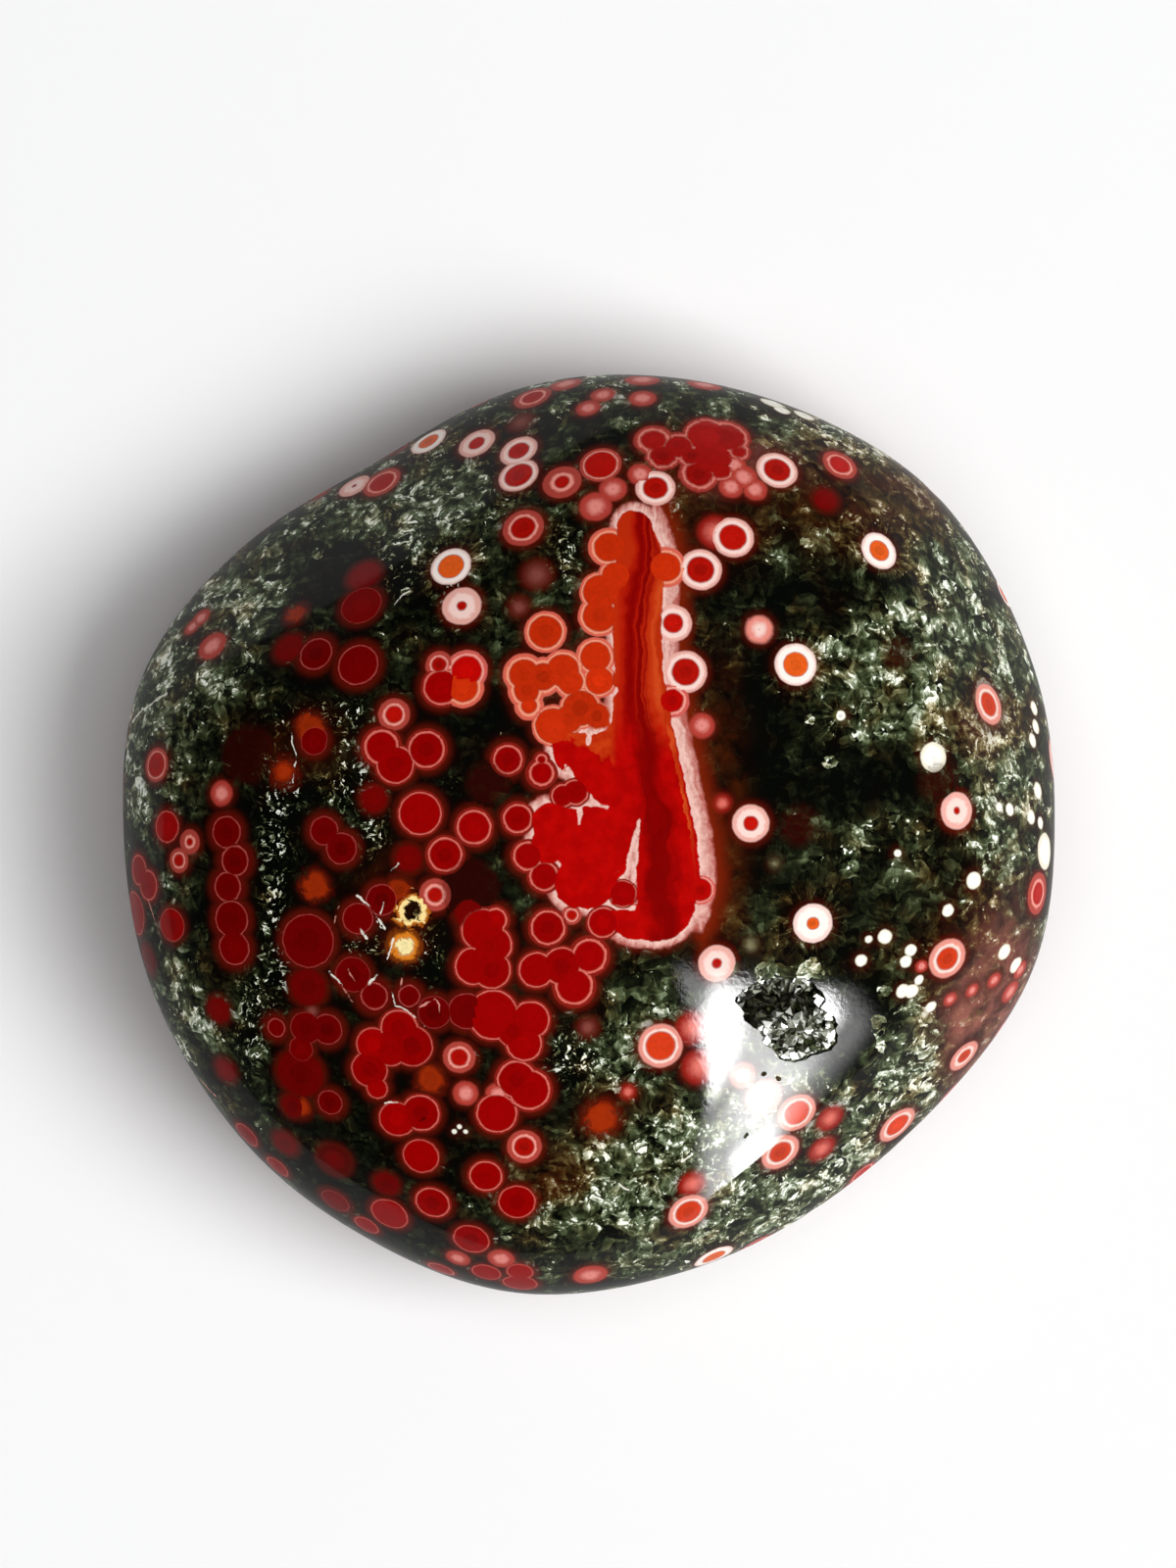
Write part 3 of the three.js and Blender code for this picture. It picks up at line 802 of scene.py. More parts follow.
# %% [markdown]
# ## The river
# The red river is one form as long as a third of the stone, too big to be a ball. It is drawn as
# a painter would: strokes whose width changes along the way, with smaller strokes taken out where
# pale bits show through. How far each corner lies inside the strokes is smooth enough to be
# stored at the corners.

# %%  Strokes of the river, of the pool beside it and of the pale bits in them
FAR_OFF = 30.0  # from the red form: the whole underside
RIVER = [
    # x, y, half width
    (3.7, 24.6, 1.4), (4.1, 22.7, 1.7), (4.1, 20.7, 2.0), (3.9, 16.8, 1.9), (4.0, 12.8, 2.0),
    (4.3, 8.8, 2.4), (4.8, 4.1, 2.9), (5.4, -0.7, 3.3), (5.7, -3.5, 3.3), (5.4, -5.3, 3.2),
]
POOL = [
    (-0.8, 6.8, 2.1), (1.0, 5.6, 2.4), (2.0, 4.1, 1.9), (3.2, 0.1, 3.2), (-2.9, 1.0, 1.6),
    (-1.7, 0.1, 2.1), (0.3, -0.7, 3.0), (-3.2, -0.9, 1.4), (0.0, -3.5, 2.4), (-0.8, -3.9, 1.9),
    (3.8, -6.3, 2.1), (0.2, 7.9, 1.9),
]
PALE = [
    # x, y, half width, then the same for the other end
    (1.8, 16.2, 0.16, 1.9, 13.0, 0.22), (1.9, 11.6, 0.42, 1.5, 11.0, 0.20), (-1.4, 8.5, 0.30, 0.6, 8.4, 0.36),
    (0.0, 7.3, 0.14, 0.2, 8.8, 0.34), (0.6, 8.4, 0.36, 1.5, 8.5, 0.10), (-1.3, 2.9, 0.16, 1.5, 2.2, 0.10),
    (-0.6, 3.2, 0.26, -0.7, 0.9, 0.12), (4.1, 1.2, 0.08, 3.6, -1.6, 0.38), (3.6, -1.6, 0.38, 3.3, -3.6, 0.46),
    (3.3, -3.4, 0.46, 2.5, -3.6, 0.14), (1.8, -5.7, 0.26, 3.6, -5.8, 0.22),
    (3.7, -3.9, 0.14, 3.8, -5.6, 0.12), (-3.4, 11.2, 0.30, -2.6, 10.9, 0.26),
    (-0.9, 4.0, 0.12, -1.8, 5.6, 0.14),
]


def stroke_gap(plan, start, end):
    """Distance from plan points to a stroke whose half width goes from start's to end's."""
    start, end = np.array(start), np.array(end)
    run = end[:2] - start[:2]
    share = np.clip(((plan - start[:2]) @ run) / (run @ run), 0, 1)
    nearest_point = start[:2] + share[:, None] * run
    return np.linalg.norm(plan - nearest_point, axis=1) - (start[2] + share * (end[2] - start[2]))


spots = np.empty(len(carved.vertices) * 3)
carved.vertices.foreach_get("co", spots)
spots = spots.reshape(-1, 3) / MM
plan = spots[:, :2]
river = np.min([stroke_gap(plan, a, b) for a, b in zip(RIVER, RIVER[1:])], axis=0)
pool = np.min([np.linalg.norm(plan - (x, y), axis=1) - r for x, y, r in POOL], axis=0)
pale = np.min([stroke_gap(plan, entry[:3], entry[3:]) for entry in PALE], axis=0)
red_gap = np.maximum(np.minimum(river, pool), -pale)
red_gap = np.where(spots[:, 2] > REST_DROP, red_gap, FAR_OFF)
levels = np.array([y for _, y, _ in RIVER])[::-1]
axis = np.interp(plan[:, 1], levels, np.array([x for x, _, _ in RIVER])[::-1])
half = np.interp(plan[:, 1], levels, np.array([r for _, _, r in RIVER])[::-1])
store(carved, "red_gap", "FLOAT", "POINT", red_gap)
store(carved, "river_side", "FLOAT", "POINT", (plan[:, 0] - axis) / half)
print("corners inside the red form:", int((red_gap < 0).sum()))

# %% [markdown]
# Old cracks healed with white quartz, or with pink where iron got in. Each is a straight stroke,
# thinner than the mesh's squares, so it is handled like the orbs: a face holds the two ends of
# the stroke nearest to it.

# %%  Healed cracks
VEINS = [
    # x, y, the other end's x and y, half width, and 0 for white or 1 for pink
    (-18.4, -4.8, -17.2, -6.1, 0.08, 0), (-17.2, -6.1, -16.2, -7.6, 0.09, 0),
    (-16.6, -6.4, -16.3, -5.4, 0.05, 0), (-15.7, -12.6, -15.4, -13.6, 0.07, 0),
    (-15.4, -13.6, -14.3, -14.2, 0.06, 0), (-14.3, -14.2, -13.0, -15.3, 0.06, 0),
    (-17.5, -12.0, -16.9, -11.3, 0.10, 0), (-35.6, 10.3, -34.0, 11.3, 0.14, 0),
    (-36.9, 9.1, -35.6, 10.3, 0.13, 0), (-16.3, -21.5, -15.3, -21.5, 0.08, 0),
    (2.5, -28.0, 3.3, -28.5, 0.08, 0), (7.5, -26.2, 8.2, -25.8, 0.10, 0),
    (-15.7, -2.9, -15.1, -2.3, 0.05, 0), (-14.3, 19.5, -14.9, 19.2, 0.10, 0),
    (-14.9, 19.2, -15.5, 18.5, 0.06, 0), (-18.2, -7.5, -17.7, -8.3, 0.14, 0),
    (-16.3, -7.6, -16.9, -6.9, 0.05, 0), (-15.5, -8.3, -16.1, -9.9, 0.08, 0),
    (-20.7, -11.0, -19.7, -12.1, 0.07, 0), (-23.8, 8.3, -23.4, 6.4, 0.06, 0),
    (-23.4, 6.4, -23.6, 4.1, 0.06, 0), (-36.8, 10.3, -37.4, 7.2, 0.10, 1),
    (-37.5, 4.8, -37.7, 2.1, 0.10, 1), (-19.7, -12.1, -18.9, -13.3, 0.06, 1),
    (-20.3, -7.1, -19.9, -5.8, 0.05, 1), (-35.5, -5.3, -34.8, -7.2, 0.07, 1),
    (-31.4, -19.8, -29.9, -21.4, 0.10, 1), (-13.5, -13.8, -12.2, -13.1, 0.07, 1),
    (-12.2, -13.1, -11.8, -14.2, 0.06, 1), (-15.1, -12.3, -14.8, -11.5, 0.06, 1),
    (-19.2, -10.7, -18.6, -11.7, 0.05, 1),
]
veins = np.array(VEINS)
ends = [on_surface(veins[:, k], veins[:, k + 1]) for k in (0, 2)]
run = ends[1] - ends[0]
best = np.full(len(centres), np.inf)
choice = np.zeros(len(centres), dtype=int)
for number in range(len(veins)):
    offset = centres - ends[0][number]
    share = np.clip(offset @ run[number] / (run[number] @ run[number]), 0, 1)
    far = np.linalg.norm(offset - share[:, None] * run[number], axis=1)
    choice = np.where(far < best, number, choice)
    best = np.minimum(best, far)
# A face well below the polish and near the pocket's middle belongs to the pocket's wall.
POCKET_MIDDLE = (16.4, -14.7)
POCKET_REACH = 6
BELOW_POLISH = 0.12
depths = crown_height(centres[:, 0], centres[:, 1]) - centres[:, 2]
in_pocket = (depths > BELOW_POLISH) & (centres[:, 2] > REST_DROP)
in_pocket &= np.linalg.norm(centres[:, :2] - POCKET_MIDDLE, axis=1) < POCKET_REACH
store(carved, "wall", "FLOAT", "FACE", in_pocket.astype(float))
store(carved, "vein_start", "FLOAT_VECTOR", "FACE", ends[0][choice])
store(carved, "vein_run", "FLOAT_VECTOR", "FACE", run[choice])
vein_kinds = np.stack([veins[:, 4], veins[:, 5], veins[:, 5]], 1)
store(carved, "vein_manner", "FLOAT_VECTOR", "FACE", vein_kinds[choice])

# %% [markdown]
# ## Where the stone is pale, dark or brown
# Between the orbs the chalcedony changes from near black to grey-green and to a rusty brown.
# Broad soft patches are enough to steer it: each is an oval with a middle and two reaches, and
# those of one kind add up to one value at each corner. Small ones mark the columns of bright
# flecks and the single crystals that stand out.

# %%  Soft patches of pale crystal, dark glass, flecks, single crystals and stains
PATCHES = {
    # x, y, reach to the sides, reach up and down
    "pale": [
        (-12.6, 27.0, 5.0, 4.2), (-12.6, 27.5, 4.5, 3.5), (-34.0, -4.0, 2.5, 14.0),
        (2.5, -29.0, 9.0, 5.0), (-6.0, -28.0, 3.0, 3.0),
        (-29.5, 17.0, 7.5, 9.5), (-30.6, -15.0, 3.5, 5.5), (26.2, 16.8, 8.5, 9.5), (-34.0, 7.0, 4.0, 8.0),
        (3.6, -25.8, 4.5, 2.8), (13.5, -30.5, 8.0, 3.0), (25.4, -19.0, 4.5, 5.5), (-25.6, -4.0, 1.4, 10.0),
        (-17.9, 1.3, 2.0, 6.0), (-36.0, 8.0, 2.5, 6.0), (3.2, -16.5, 3.0, 4.0), (20.0, 32.0, 6.0, 3.0),
        (-3.0, 36.0, 12.0, 2.0), (33.0, 3.0, 3.5, 14.0), (15.0, -23.0, 7.0, 5.0),
        (-20.0, 29.0, 8.0, 5.0), (20.0, -26.0, 6.0, 4.0), (18.5, -30.0, 6.0, 3.5),
    ],
    "dark": [
        (-9.5, 4.9, 6.5, 8.5), (-14.0, 2.0, 3.0, 8.0), (-12.0, -7.0, 2.5, 5.0), (13.1, 7.0, 3.2, 13.0),
        (18.3, 4.8, 3.4, 3.0),
        (21.8, -15.5, 3.0, 5.5), (-13.5, -18.0, 11.0, 13.0), (-26.5, 6.5, 3.0, 3.5), (-22.0, 13.5, 4.0, 3.5),
        (-26.0, -2.0, 9.0, 10.0), (-19.0, 21.0, 5.0, 3.0), (20.0, 19.5, 6.0, 2.5), (23.6, 4.6, 4.0, 2.0),
    ],
    "fleck": [
        (-25.2, -4.0, 1.3, 9.0), (-21.3, 9.6, 4.2, 1.0), (-18.4, 6.0, 2.0, 4.0), (-17.3, 0.6, 1.3, 3.4),
        (-24.6, 3.0, 1.6, 4.0), (-27.0, -15.5, 1.4, 4.5), (-24.6, -11.0, 1.2, 3.0), (-18.0, -9.0, 2.0, 1.4),
        (-13.0, -9.2, 1.4, 3.0), (-10.9, 4.0, 0.8, 0.6), (-1.0, -18.0, 3.0, 2.5),
        (-1.8, 23.0, 1.2, 3.0), (-20.0, 3.6, 2.4, 1.0), (-11.0, 20.0, 1.4, 3.0), (-15.0, 22.0, 2.5, 2.5),
    ],
    "gem": [
        (28.9, 19.9, 0.9, 0.7), (27.7, 11.8, 1.0, 0.8), (27.4, 10.4, 0.8, 0.7), (19.3, 5.8, 0.7, 0.6),
        (17.6, 23.4, 0.7, 0.6), (31.0, 19.2, 0.6, 0.5), (21.5, 7.9, 0.7, 0.6), (23.3, 8.2, 0.6, 0.5),
        (17.7, 9.2, 0.5, 0.4), (20.7, -1.2, 0.7, 0.6), (-27.7, 17.7, 0.7, 0.6), (-27.2, 16.9, 0.5, 0.4),
        (-25.8, 20.0, 0.5, 0.4), (-25.1, 20.3, 0.5, 0.4), (-21.9, 22.5, 0.5, 0.4),
        (-14.5, 19.5, 0.5, 0.4), (-14.1, 25.0, 0.4, 0.3), (2.7, -29.5, 0.6, 0.5), (2.9, -30.9, 0.6, 0.5),
        (0.2, -25.5, 0.8, 0.7), (1.4, -25.8, 0.7, 0.6), (4.3, -25.0, 0.7, 0.6), (2.9, -23.2, 0.4, 0.3),
        (-18.0, -7.6, 0.5, 0.4), (-6.0, -34.8, 0.6, 0.5), (-9.5, -35.1, 0.3, 0.3),
        (-15.7, -17.6, 0.5, 0.4), (-9.1, -17.8, 0.6, 0.5), (14.7, -11.0, 0.9, 0.7),
        (14.0, -10.7, 0.6, 0.5), (17.5, -11.0, 0.9, 0.7), (18.6, -11.2, 0.5, 0.4),
        (12.9, -12.6, 0.4, 0.3), (23.8, -12.6, 0.6, 0.5), (27.4, -17.8, 0.8, 0.7),
        (28.2, -16.6, 0.6, 0.5), (26.2, -20.2, 0.6, 0.5), (24.2, -21.4, 0.6, 0.5),
        (-1.6, -28.9, 0.8, 0.7), (7.9, -34.9, 0.7, 0.6), (14.2, -11.7, 0.8, 0.7),
        (16.4, -11.8, 0.6, 0.5), (18.1, -10.4, 0.7, 0.6), (23.3, -15.0, 0.7, 0.6),
        (23.4, -15.8, 0.5, 0.7), (23.6, -17.1, 0.5, 0.6), (27.0, -15.8, 0.8, 0.5),
        (26.8, -16.8, 0.7, 0.7), (26.2, -18.0, 0.6, 0.5), (24.2, -21.8, 0.7, 0.6),
        (27.4, -19.6, 0.6, 0.5), (22.3, -24.6, 1.0, 0.5), (21.1, -25.4, 0.7, 0.4),
        (19.9, -26.6, 0.8, 0.5), (13.1, -28.9, 0.6, 0.4), (12.7, -30.5, 0.7, 0.5),
        (5.7, -14.2, 0.8, 0.6), (6.4, -13.8, 0.6, 0.5),
    ],
    "rosy": [
        (34.0, -12.5, 2.2, 6.0), (30.5, -16.0, 1.6, 5.0), (13.0, 30.0, 3.2, 1.6), (11.0, 28.6, 2.4, 1.2),
    ],
    "rust": [
        (20.0, 27.5, 5.0, 3.5), (26.6, 27.5, 3.0, 2.5), (31.4, -13.5, 3.5, 7.0),
        (-3.0, -27.5, 2.5, 2.0), (10.5, 1.0, 1.8, 9.0), (1.1, -22.6, 1.8, 1.8), (-15.5, -5.0, 3.0, 3.0),
        (8.5, 26.5, 4.0, 3.0), (-23.0, 7.5, 3.0, 2.0), (32.0, 9.0, 2.5, 2.5), (11.2, 1.8, 1.1, 7.0),
        (10.0, -4.5, 1.5, 2.0),
    ],
}
for name, patches in PATCHES.items():
    total = np.zeros(len(plan))
    for x, y, wide, tall in patches:
        total += np.exp(-((plan[:, 0] - x) / wide) ** 2 - ((plan[:, 1] - y) / tall) ** 2)
    store(carved, name, "FLOAT", "POINT", np.clip(total, 0, 1))

# %% [markdown]
# ## The chalcedony between the orbs
# Under the polish the dark stone is full of quartz crystals. Each one catches the light on one
# side and is dark on the other, and between them lie black glass, folded films, thin threads and
# bright specks. No single texture looks like that, so several are laid over each other. Cells of
# four sizes stand for the crystals, each with painted light on one side and painted shade on the
# other; the folds of a noise make the films, with painted light on their flanks, and its ridges
# the threads. A cloudy noise says where the crystal is dense or thin.

# %%  The jasper's own coordinates, in millimetres
jasper = Finish("polished jasper")
place = jasper.scaled(jasper.add("ShaderNodeTexCoord", {}, 3), 1 / MM)
pale = jasper.stored("pale", 2)
dark = jasper.stored("dark", 2)
rust = jasper.stored("rust", 2)
flecked = jasper.stored("fleck", 2)
rosy = jasper.stored("rosy", 2)


def pushed(where, scale, strength):
    """A place that is pushed about by a noise, seldom by more than a third of the strength."""
    wander = jasper.vector("SUBTRACT", jasper.noise(place, scale, 2.0, 0.5, out=1), (0.5, 0.5, 0.5))
    return jasper.vector("ADD", where, jasper.scaled(wander, strength))


bent = pushed(place, 0.40, 2.25)
bent = pushed(bent, 2.4, 0.135)

# %%  How dense the bright crystal is
mottle = jasper.noise(bent, 0.38, 3.0, 0.6)
density = jasper.times_plus(jasper.swing(place, 0.28, 4.0, 0.62), 1.6, -0.08)
density = jasper.times_plus(pale, 0.50, density)
density = jasper.times_plus(dark, -0.60, density)
density = jasper.times_plus(jasper.minus(mottle, 0.5), 2.6, density)


# %%  Folded film, lit from one side
LIT_FROM = (0.6, 0.75, 0.28)
FOLD_STEP = 0.16  # how far apart the two heights are taken, in widths of a fold


def folds(scale, detail, rough):
    """How steeply a folded noise rises towards the light: high on lit flanks, low on the others."""
    heights = []
    for reach in (0.0, FOLD_STEP / scale):
        where = jasper.vector("ADD", bent, tuple(reach * part for part in LIT_FROM))
        heights.append(jasper.calc("ABSOLUTE", jasper.swing(where, scale, detail, rough)))
    return jasper.times(jasper.minus(heights[1], heights[0]), 1 / FOLD_STEP)


# %% Angular crystals, each with painted light towards one side and painted shade on the other
# how strongly each crystal's painted light and painted shade change across it
CRYSTAL_PAINTED_LIGHT = 2.2


def crystals(stretch, scale):
    """Cells seen as flat crystals with painted light across each; returns how light a point is and its
    crystal's own chance.
    """
    where = jasper.vector("MULTIPLY", bent, stretch)
    cell = jasper.nodes.new("ShaderNodeTexVoronoi")
    jasper.feed(cell.inputs["Vector"], where)
    jasper.feed(cell.inputs["Scale"], scale)
    dice = jasper.vector("SUBTRACT", cell.outputs["Color"], (0.5, 0.5, 0.5))
    inside = jasper.vector("SUBTRACT", where, cell.outputs["Position"])
    # painted light and shade: each crystal is lighter on one side and darker on the other
    painted_light_across = jasper.times(jasper.vector("DOT_PRODUCT", inside, dice, out=1), scale * CRYSTAL_PAINTED_LIGHT)
    parts = jasper.split(cell.outputs["Color"], "Color")
    return jasper.plus(painted_light_across, jasper.minus(parts[1], 0.5)), parts[0]


wide = crystals((1.0, 1.3, 1.0), 0.42)[0]
lying = crystals((0.85, 1.4, 1.2), 0.80)[0]
standing, standing_chance = crystals((1.5, 0.85, 1.2), 1.45)
grains, grain_chance = crystals((1.0, 1.2, 1.1), 3.2)
film = folds(0.45, 3.0, 0.5)

# %%  Threads, flecks and lone bright crystals
ridge = jasper.calc("ABSOLUTE", jasper.swing(bent, 0.9, 3.0, 0.6, 0.4))
thread = jasper.fade(ridge, 0.0, 0.03, 1.0, 0.0)
clump = jasper.plus(jasper.noise(place, 0.75, 2.0, 0.6), jasper.times(density, 0.4))
clump = jasper.fade(clump, 0.46, 0.72)
fleck = jasper.fade(jasper.noise(place, 2.6, 2.0, 0.6, 0.3), 0.60, 0.66)
lone = jasper.fade(jasper.times_plus(density, 0.15, standing_chance), 0.95, 0.98)

# %% [markdown]
# All of these are added up to one brightness, and a single row of colours turns that brightness
# into stone: black-green glass, olive, grey-green, and near white on the brightest facets. A
# second, browner row is mixed in where iron has stained the ground.

# %%  One brightness from all the layers
thick = jasper.fade(density, -0.6, 0.9)
light = jasper.times_plus(thick, 0.34, 0.17)
light = jasper.times_plus(dark, -0.16, light)
contrast = jasper.times_plus(thick, 0.54, 0.36)
sparkle = jasper.times(grains, 0.09)
for layer, strength in ((wide, 0.30), (lying, 0.34), (standing, 0.20), (film, 0.24)):
    sparkle = jasper.times_plus(layer, strength, sparkle)
sparkle = jasper.times_plus(jasper.times(thread, clump), 0.20, sparkle)
sparkle = jasper.times_plus(jasper.times(fleck, clump), 0.28, sparkle)
sparkle = jasper.times_plus(lone, 0.26, sparkle)
light = jasper.times_plus(sparkle, contrast, light)
light = jasper.times_plus(pale, jasper.times_plus(film, 0.20, 0.06), light)
spark = jasper.fade(jasper.times_plus(clump, 0.34, grain_chance), 1.13, 1.19)
light = jasper.times_plus(spark, jasper.times_plus(grains, 0.4, 0.24), light)
sharp_fleck = jasper.fade(jasper.noise(bent, 2.2, 2.0, 0.6, 0.8), 0.54, 0.60)
light = jasper.times_plus(flecked, -0.10, light)
fleck_light = jasper.times_plus(standing, 0.7, 0.68)
light = jasper.times_plus(jasper.times(sharp_fleck, flecked), fleck_light, light)

# %% Single crystals that catch the light, and the pocket's own wall with painted light low down
gem, gem_chance = crystals((1.0, 1.15, 1.0), 1.25)
gem_here = jasper.fade(jasper.times_plus(gem_chance, 0.35, jasper.stored("gem", 2)), 0.62, 0.68)
gem_light = jasper.times_plus(gem, 0.55, jasper.times_plus(grains, 0.2, 0.66))
light = jasper.mix(gem_here, light, gem_light)
# painted light and shade on the pocket's wall: lighter on its lower side, darker above
painted_light_low_wall = jasper.fade(jasper.vector("DOT_PRODUCT", place, (0.1, -1.0, 0.0), out=1), 15.6, 16.8)
wall_light = jasper.times_plus(standing, 0.5, jasper.times_plus(painted_light_low_wall, 0.34, 0.12))
wall_light = jasper.times_plus(grains, 0.3, wall_light)
light = jasper.mix(jasper.stored("wall", 2), light, wall_light)


# %%  Fine fibres that stand out from each orb like a brush
BRUSH_SHARE = 3.0  # a colour's parts end at 1, so the brush is kept there as a third
outwards = jasper.vector("SUBTRACT", place, jasper.stored("first_middle", 1))
ring_reach = jasper.split(jasper.stored("first_reach", 1))[1]
off_orb = jasper.minus(jasper.vector("LENGTH", outwards, out=1), ring_reach)
hair_count = jasper.times_plus(ring_reach, 5.0, 3.0)
hair_way = jasper.scaled(jasper.vector("NORMALIZE", outwards), hair_count)
broken = jasper.vector("ADD", hair_way, jasper.scaled(outwards, 0.35))
hairs = jasper.fade(jasper.noise(broken, 1.0, 3.0, 0.75), 0.51, 0.64)
own_family = jasper.split(jasper.stored("first_manner", 1))[0]
brushes = [(0.0, look[BRUSH] / BRUSH_SHARE, 0.0, 1.0) for look in LOOKS.values()]
brush = jasper.split(jasper.steps(own_family, brushes)[0], "Color")[1]
near_orb = jasper.times(jasper.fade(off_orb, 0.3, 2.8, 1.0, 0.0), jasper.times(brush, BRUSH_SHARE))
light = jasper.times_plus(near_orb, -0.14, light)
light = jasper.times_plus(jasper.times(hairs, near_orb), 0.32, light)


# %%  Two rows of colours
def ramp(finish, value, stops):
    """A row of colours that blend into each other, each at its own place from 0 to 1."""
    made = finish.nodes.new("ShaderNodeValToRGB")
    for at, colour in stops:
        stop = made.color_ramp.elements.new(at)
        stop.color = colour
    made.color_ramp.elements.remove(made.color_ramp.elements[-1])
    made.color_ramp.elements.remove(made.color_ramp.elements[0])
    finish.feed(made.inputs[0], value)
    return made.outputs[0]


GREEN_ROW = [
    (0.02, tint(4, 6, 3)), (0.18, tint(20, 24, 12)), (0.34, tint(43, 50, 29)), (0.50, tint(74, 84, 56)),
    (0.66, tint(116, 128, 98)), (0.82, tint(182, 191, 166)), (0.97, tint(247, 249, 238)),
]
BROWN_ROW = [
    (0.02, tint(8, 4, 2)), (0.18, tint(27, 18, 7)), (0.34, tint(54, 41, 17)), (0.50, tint(86, 73, 39)),
    (0.66, tint(136, 125, 84)), (0.82, tint(200, 190, 152)), (0.97, tint(252, 248, 226)),
]
green = ramp(jasper, light, GREEN_ROW)
brown = ramp(jasper, light, BROWN_ROW)
browner = jasper.plus(jasper.times(rust, 0.55), jasper.noise(place, 0.35, 3.0, 0.6))
browner = jasper.times_plus(near_orb, 0.12, browner)
base = jasper.blend(jasper.fade(browner, 0.44, 0.76), green, brown)
rusty = jasper.times(jasper.times(rust, jasper.fade(mottle, 0.3, 0.6)), 0.5)
base = jasper.blend(rusty, base, jasper.blend(mottle, tint(16, 5, 1), tint(104, 42, 9)))
blushing = jasper.times(rosy, jasper.fade(mottle, 0.3, 0.6, 0.1, 0.6))
base = jasper.blend(blushing, base, tint(176, 104, 92))

# %% [markdown]
# ## The orbs and the river in the shader
# For each of a face's two orbs the shader measures the distance to the middle, compares it with
# the reaches, and picks the family's colours. The two are then joined: the deeper one gives the
# colour, and the smaller distance gives the edge, so touching orbs share one outline.

# %%  Where a point lies in one orb
drawn = pushed(place, 1.6, 0.13)
milky = jasper.swing(place, 2.2, 4.0, 0.65, 0.6)
jaggedness = jasper.times_plus(standing, 0.3, jasper.times(lying, 0.5))


def orb_parts(orb):
    """The gaps to an orb's core and ring, its blur, its halo, its shade and its family's colours."""
    middle = jasper.stored(orb + "_middle", 1)
    core_reach, ring_reach, blur = jasper.split(jasper.stored(orb + "_reach", 1))
    family, halo, shade = jasper.split(jasper.stored(orb + "_manner", 1))
    looks = list(LOOKS.values())
    jag = jasper.split(jasper.steps(family, [(look[JAG], 0.0, 0.0, 1.0) for look in looks])[0], "Color")[0]
    far = jasper.vector("LENGTH", jasper.vector("SUBTRACT", drawn, middle), out=1)
    far = jasper.times_plus(jaggedness, jag, far)
    core = jasper.steps(family, [(*look[CORE][:3], look[CORE_SOLID]) for look in looks])
    line = jasper.steps(family, [(*look[LINE][:3], look[LINE_SHARE]) for look in looks])
    band = jasper.steps(family, [(*look[BAND][:3], look[RING_SOLID]) for look in looks])
    to_core = jasper.minus(far, core_reach)
    to_edge = jasper.minus(far, ring_reach)
    inside = jasper.fade(jasper.calc("DIVIDE", to_core, blur), -1.0, 1.0, 1.0, 0.0)
    within = jasper.fade(jasper.calc("DIVIDE", to_edge, blur), -1.0, 1.0, 1.0, 0.0)
    share = jasper.calc("DIVIDE", to_core, jasper.minus(to_core, to_edge))
    return {
        "to_core": to_core,
        "to_edge": to_edge,
        "core": jasper.times(inside, core[1]),
        "ring": jasper.times(within, band[1]),
        "core_colour": core[0],
        "line_colour": line[0],
        "line_share": line[1],
        "band_colour": band[0],
        "share": jasper.times_plus(milky, 0.5, share),
        "blur": blur,
        "heart": jasper.calc("DIVIDE", far, core_reach),
        "halo": halo,
        "shade": shade,
    }


one = orb_parts("first")
two = orb_parts("second")


# %%  Joining the two orbs
def ring_colour(orb):
    """The ring's colour: a bright line next to the core, then the band, with a soft change between."""
    start = jasper.times_plus(orb["blur"], -1.5, orb["line_share"])
    end = jasper.times_plus(orb["blur"], 1.5, orb["line_share"])
    return jasper.blend(jasper.fade(orb["share"], start, end), orb["line_colour"], orb["band_colour"])


def core_colour(orb):
    """The core's colour with a faintly darker or lighter heart, and each core in its own shade."""
    in_heart = jasper.fade(orb["heart"], 0.42, 0.50, 1.0, 0.0)
    heart_swing = jasper.times(jasper.minus(orb["shade"], 0.6), 0.4)
    heart_tone = jasper.times_plus(in_heart, heart_swing, 1.0)
    own_tone = jasper.times_plus(orb["shade"], 0.22, 0.88)
    own_tone = jasper.times_plus(grains, 0.10, own_tone)
    return jasper.scaled(orb["core_colour"], jasper.times(heart_tone, own_tone))


# The second orb's colour counts where the second one covers the point more fully.
SLIGHTLY = 0.001
second_core = jasper.calc("GREATER_THAN", jasper.minus(two["core"], one["core"]), SLIGHTLY)
second_ring = jasper.calc("GREATER_THAN", jasper.minus(two["ring"], one["ring"]), SLIGHTLY)
cores = jasper.blend(second_core, core_colour(one), core_colour(two))
rings = jasper.blend(second_ring, ring_colour(one), ring_colour(two))
to_core = jasper.calc("MINIMUM", one["to_core"], two["to_core"])
to_edge = jasper.calc("MINIMUM", one["to_edge"], two["to_edge"])
core_mask = jasper.calc("MAXIMUM", one["core"], two["core"])
ring_mask = jasper.calc("MAXIMUM", one["ring"], two["ring"])

# %% [markdown]
# The river gets the same parts from its stored distance: a pale margin round a red inside. The
# inside is streaked along its run, orange red and deep red in turns at the top, and nearly plain
# red further down. The streaks come from a noise that is stretched lengthwise.

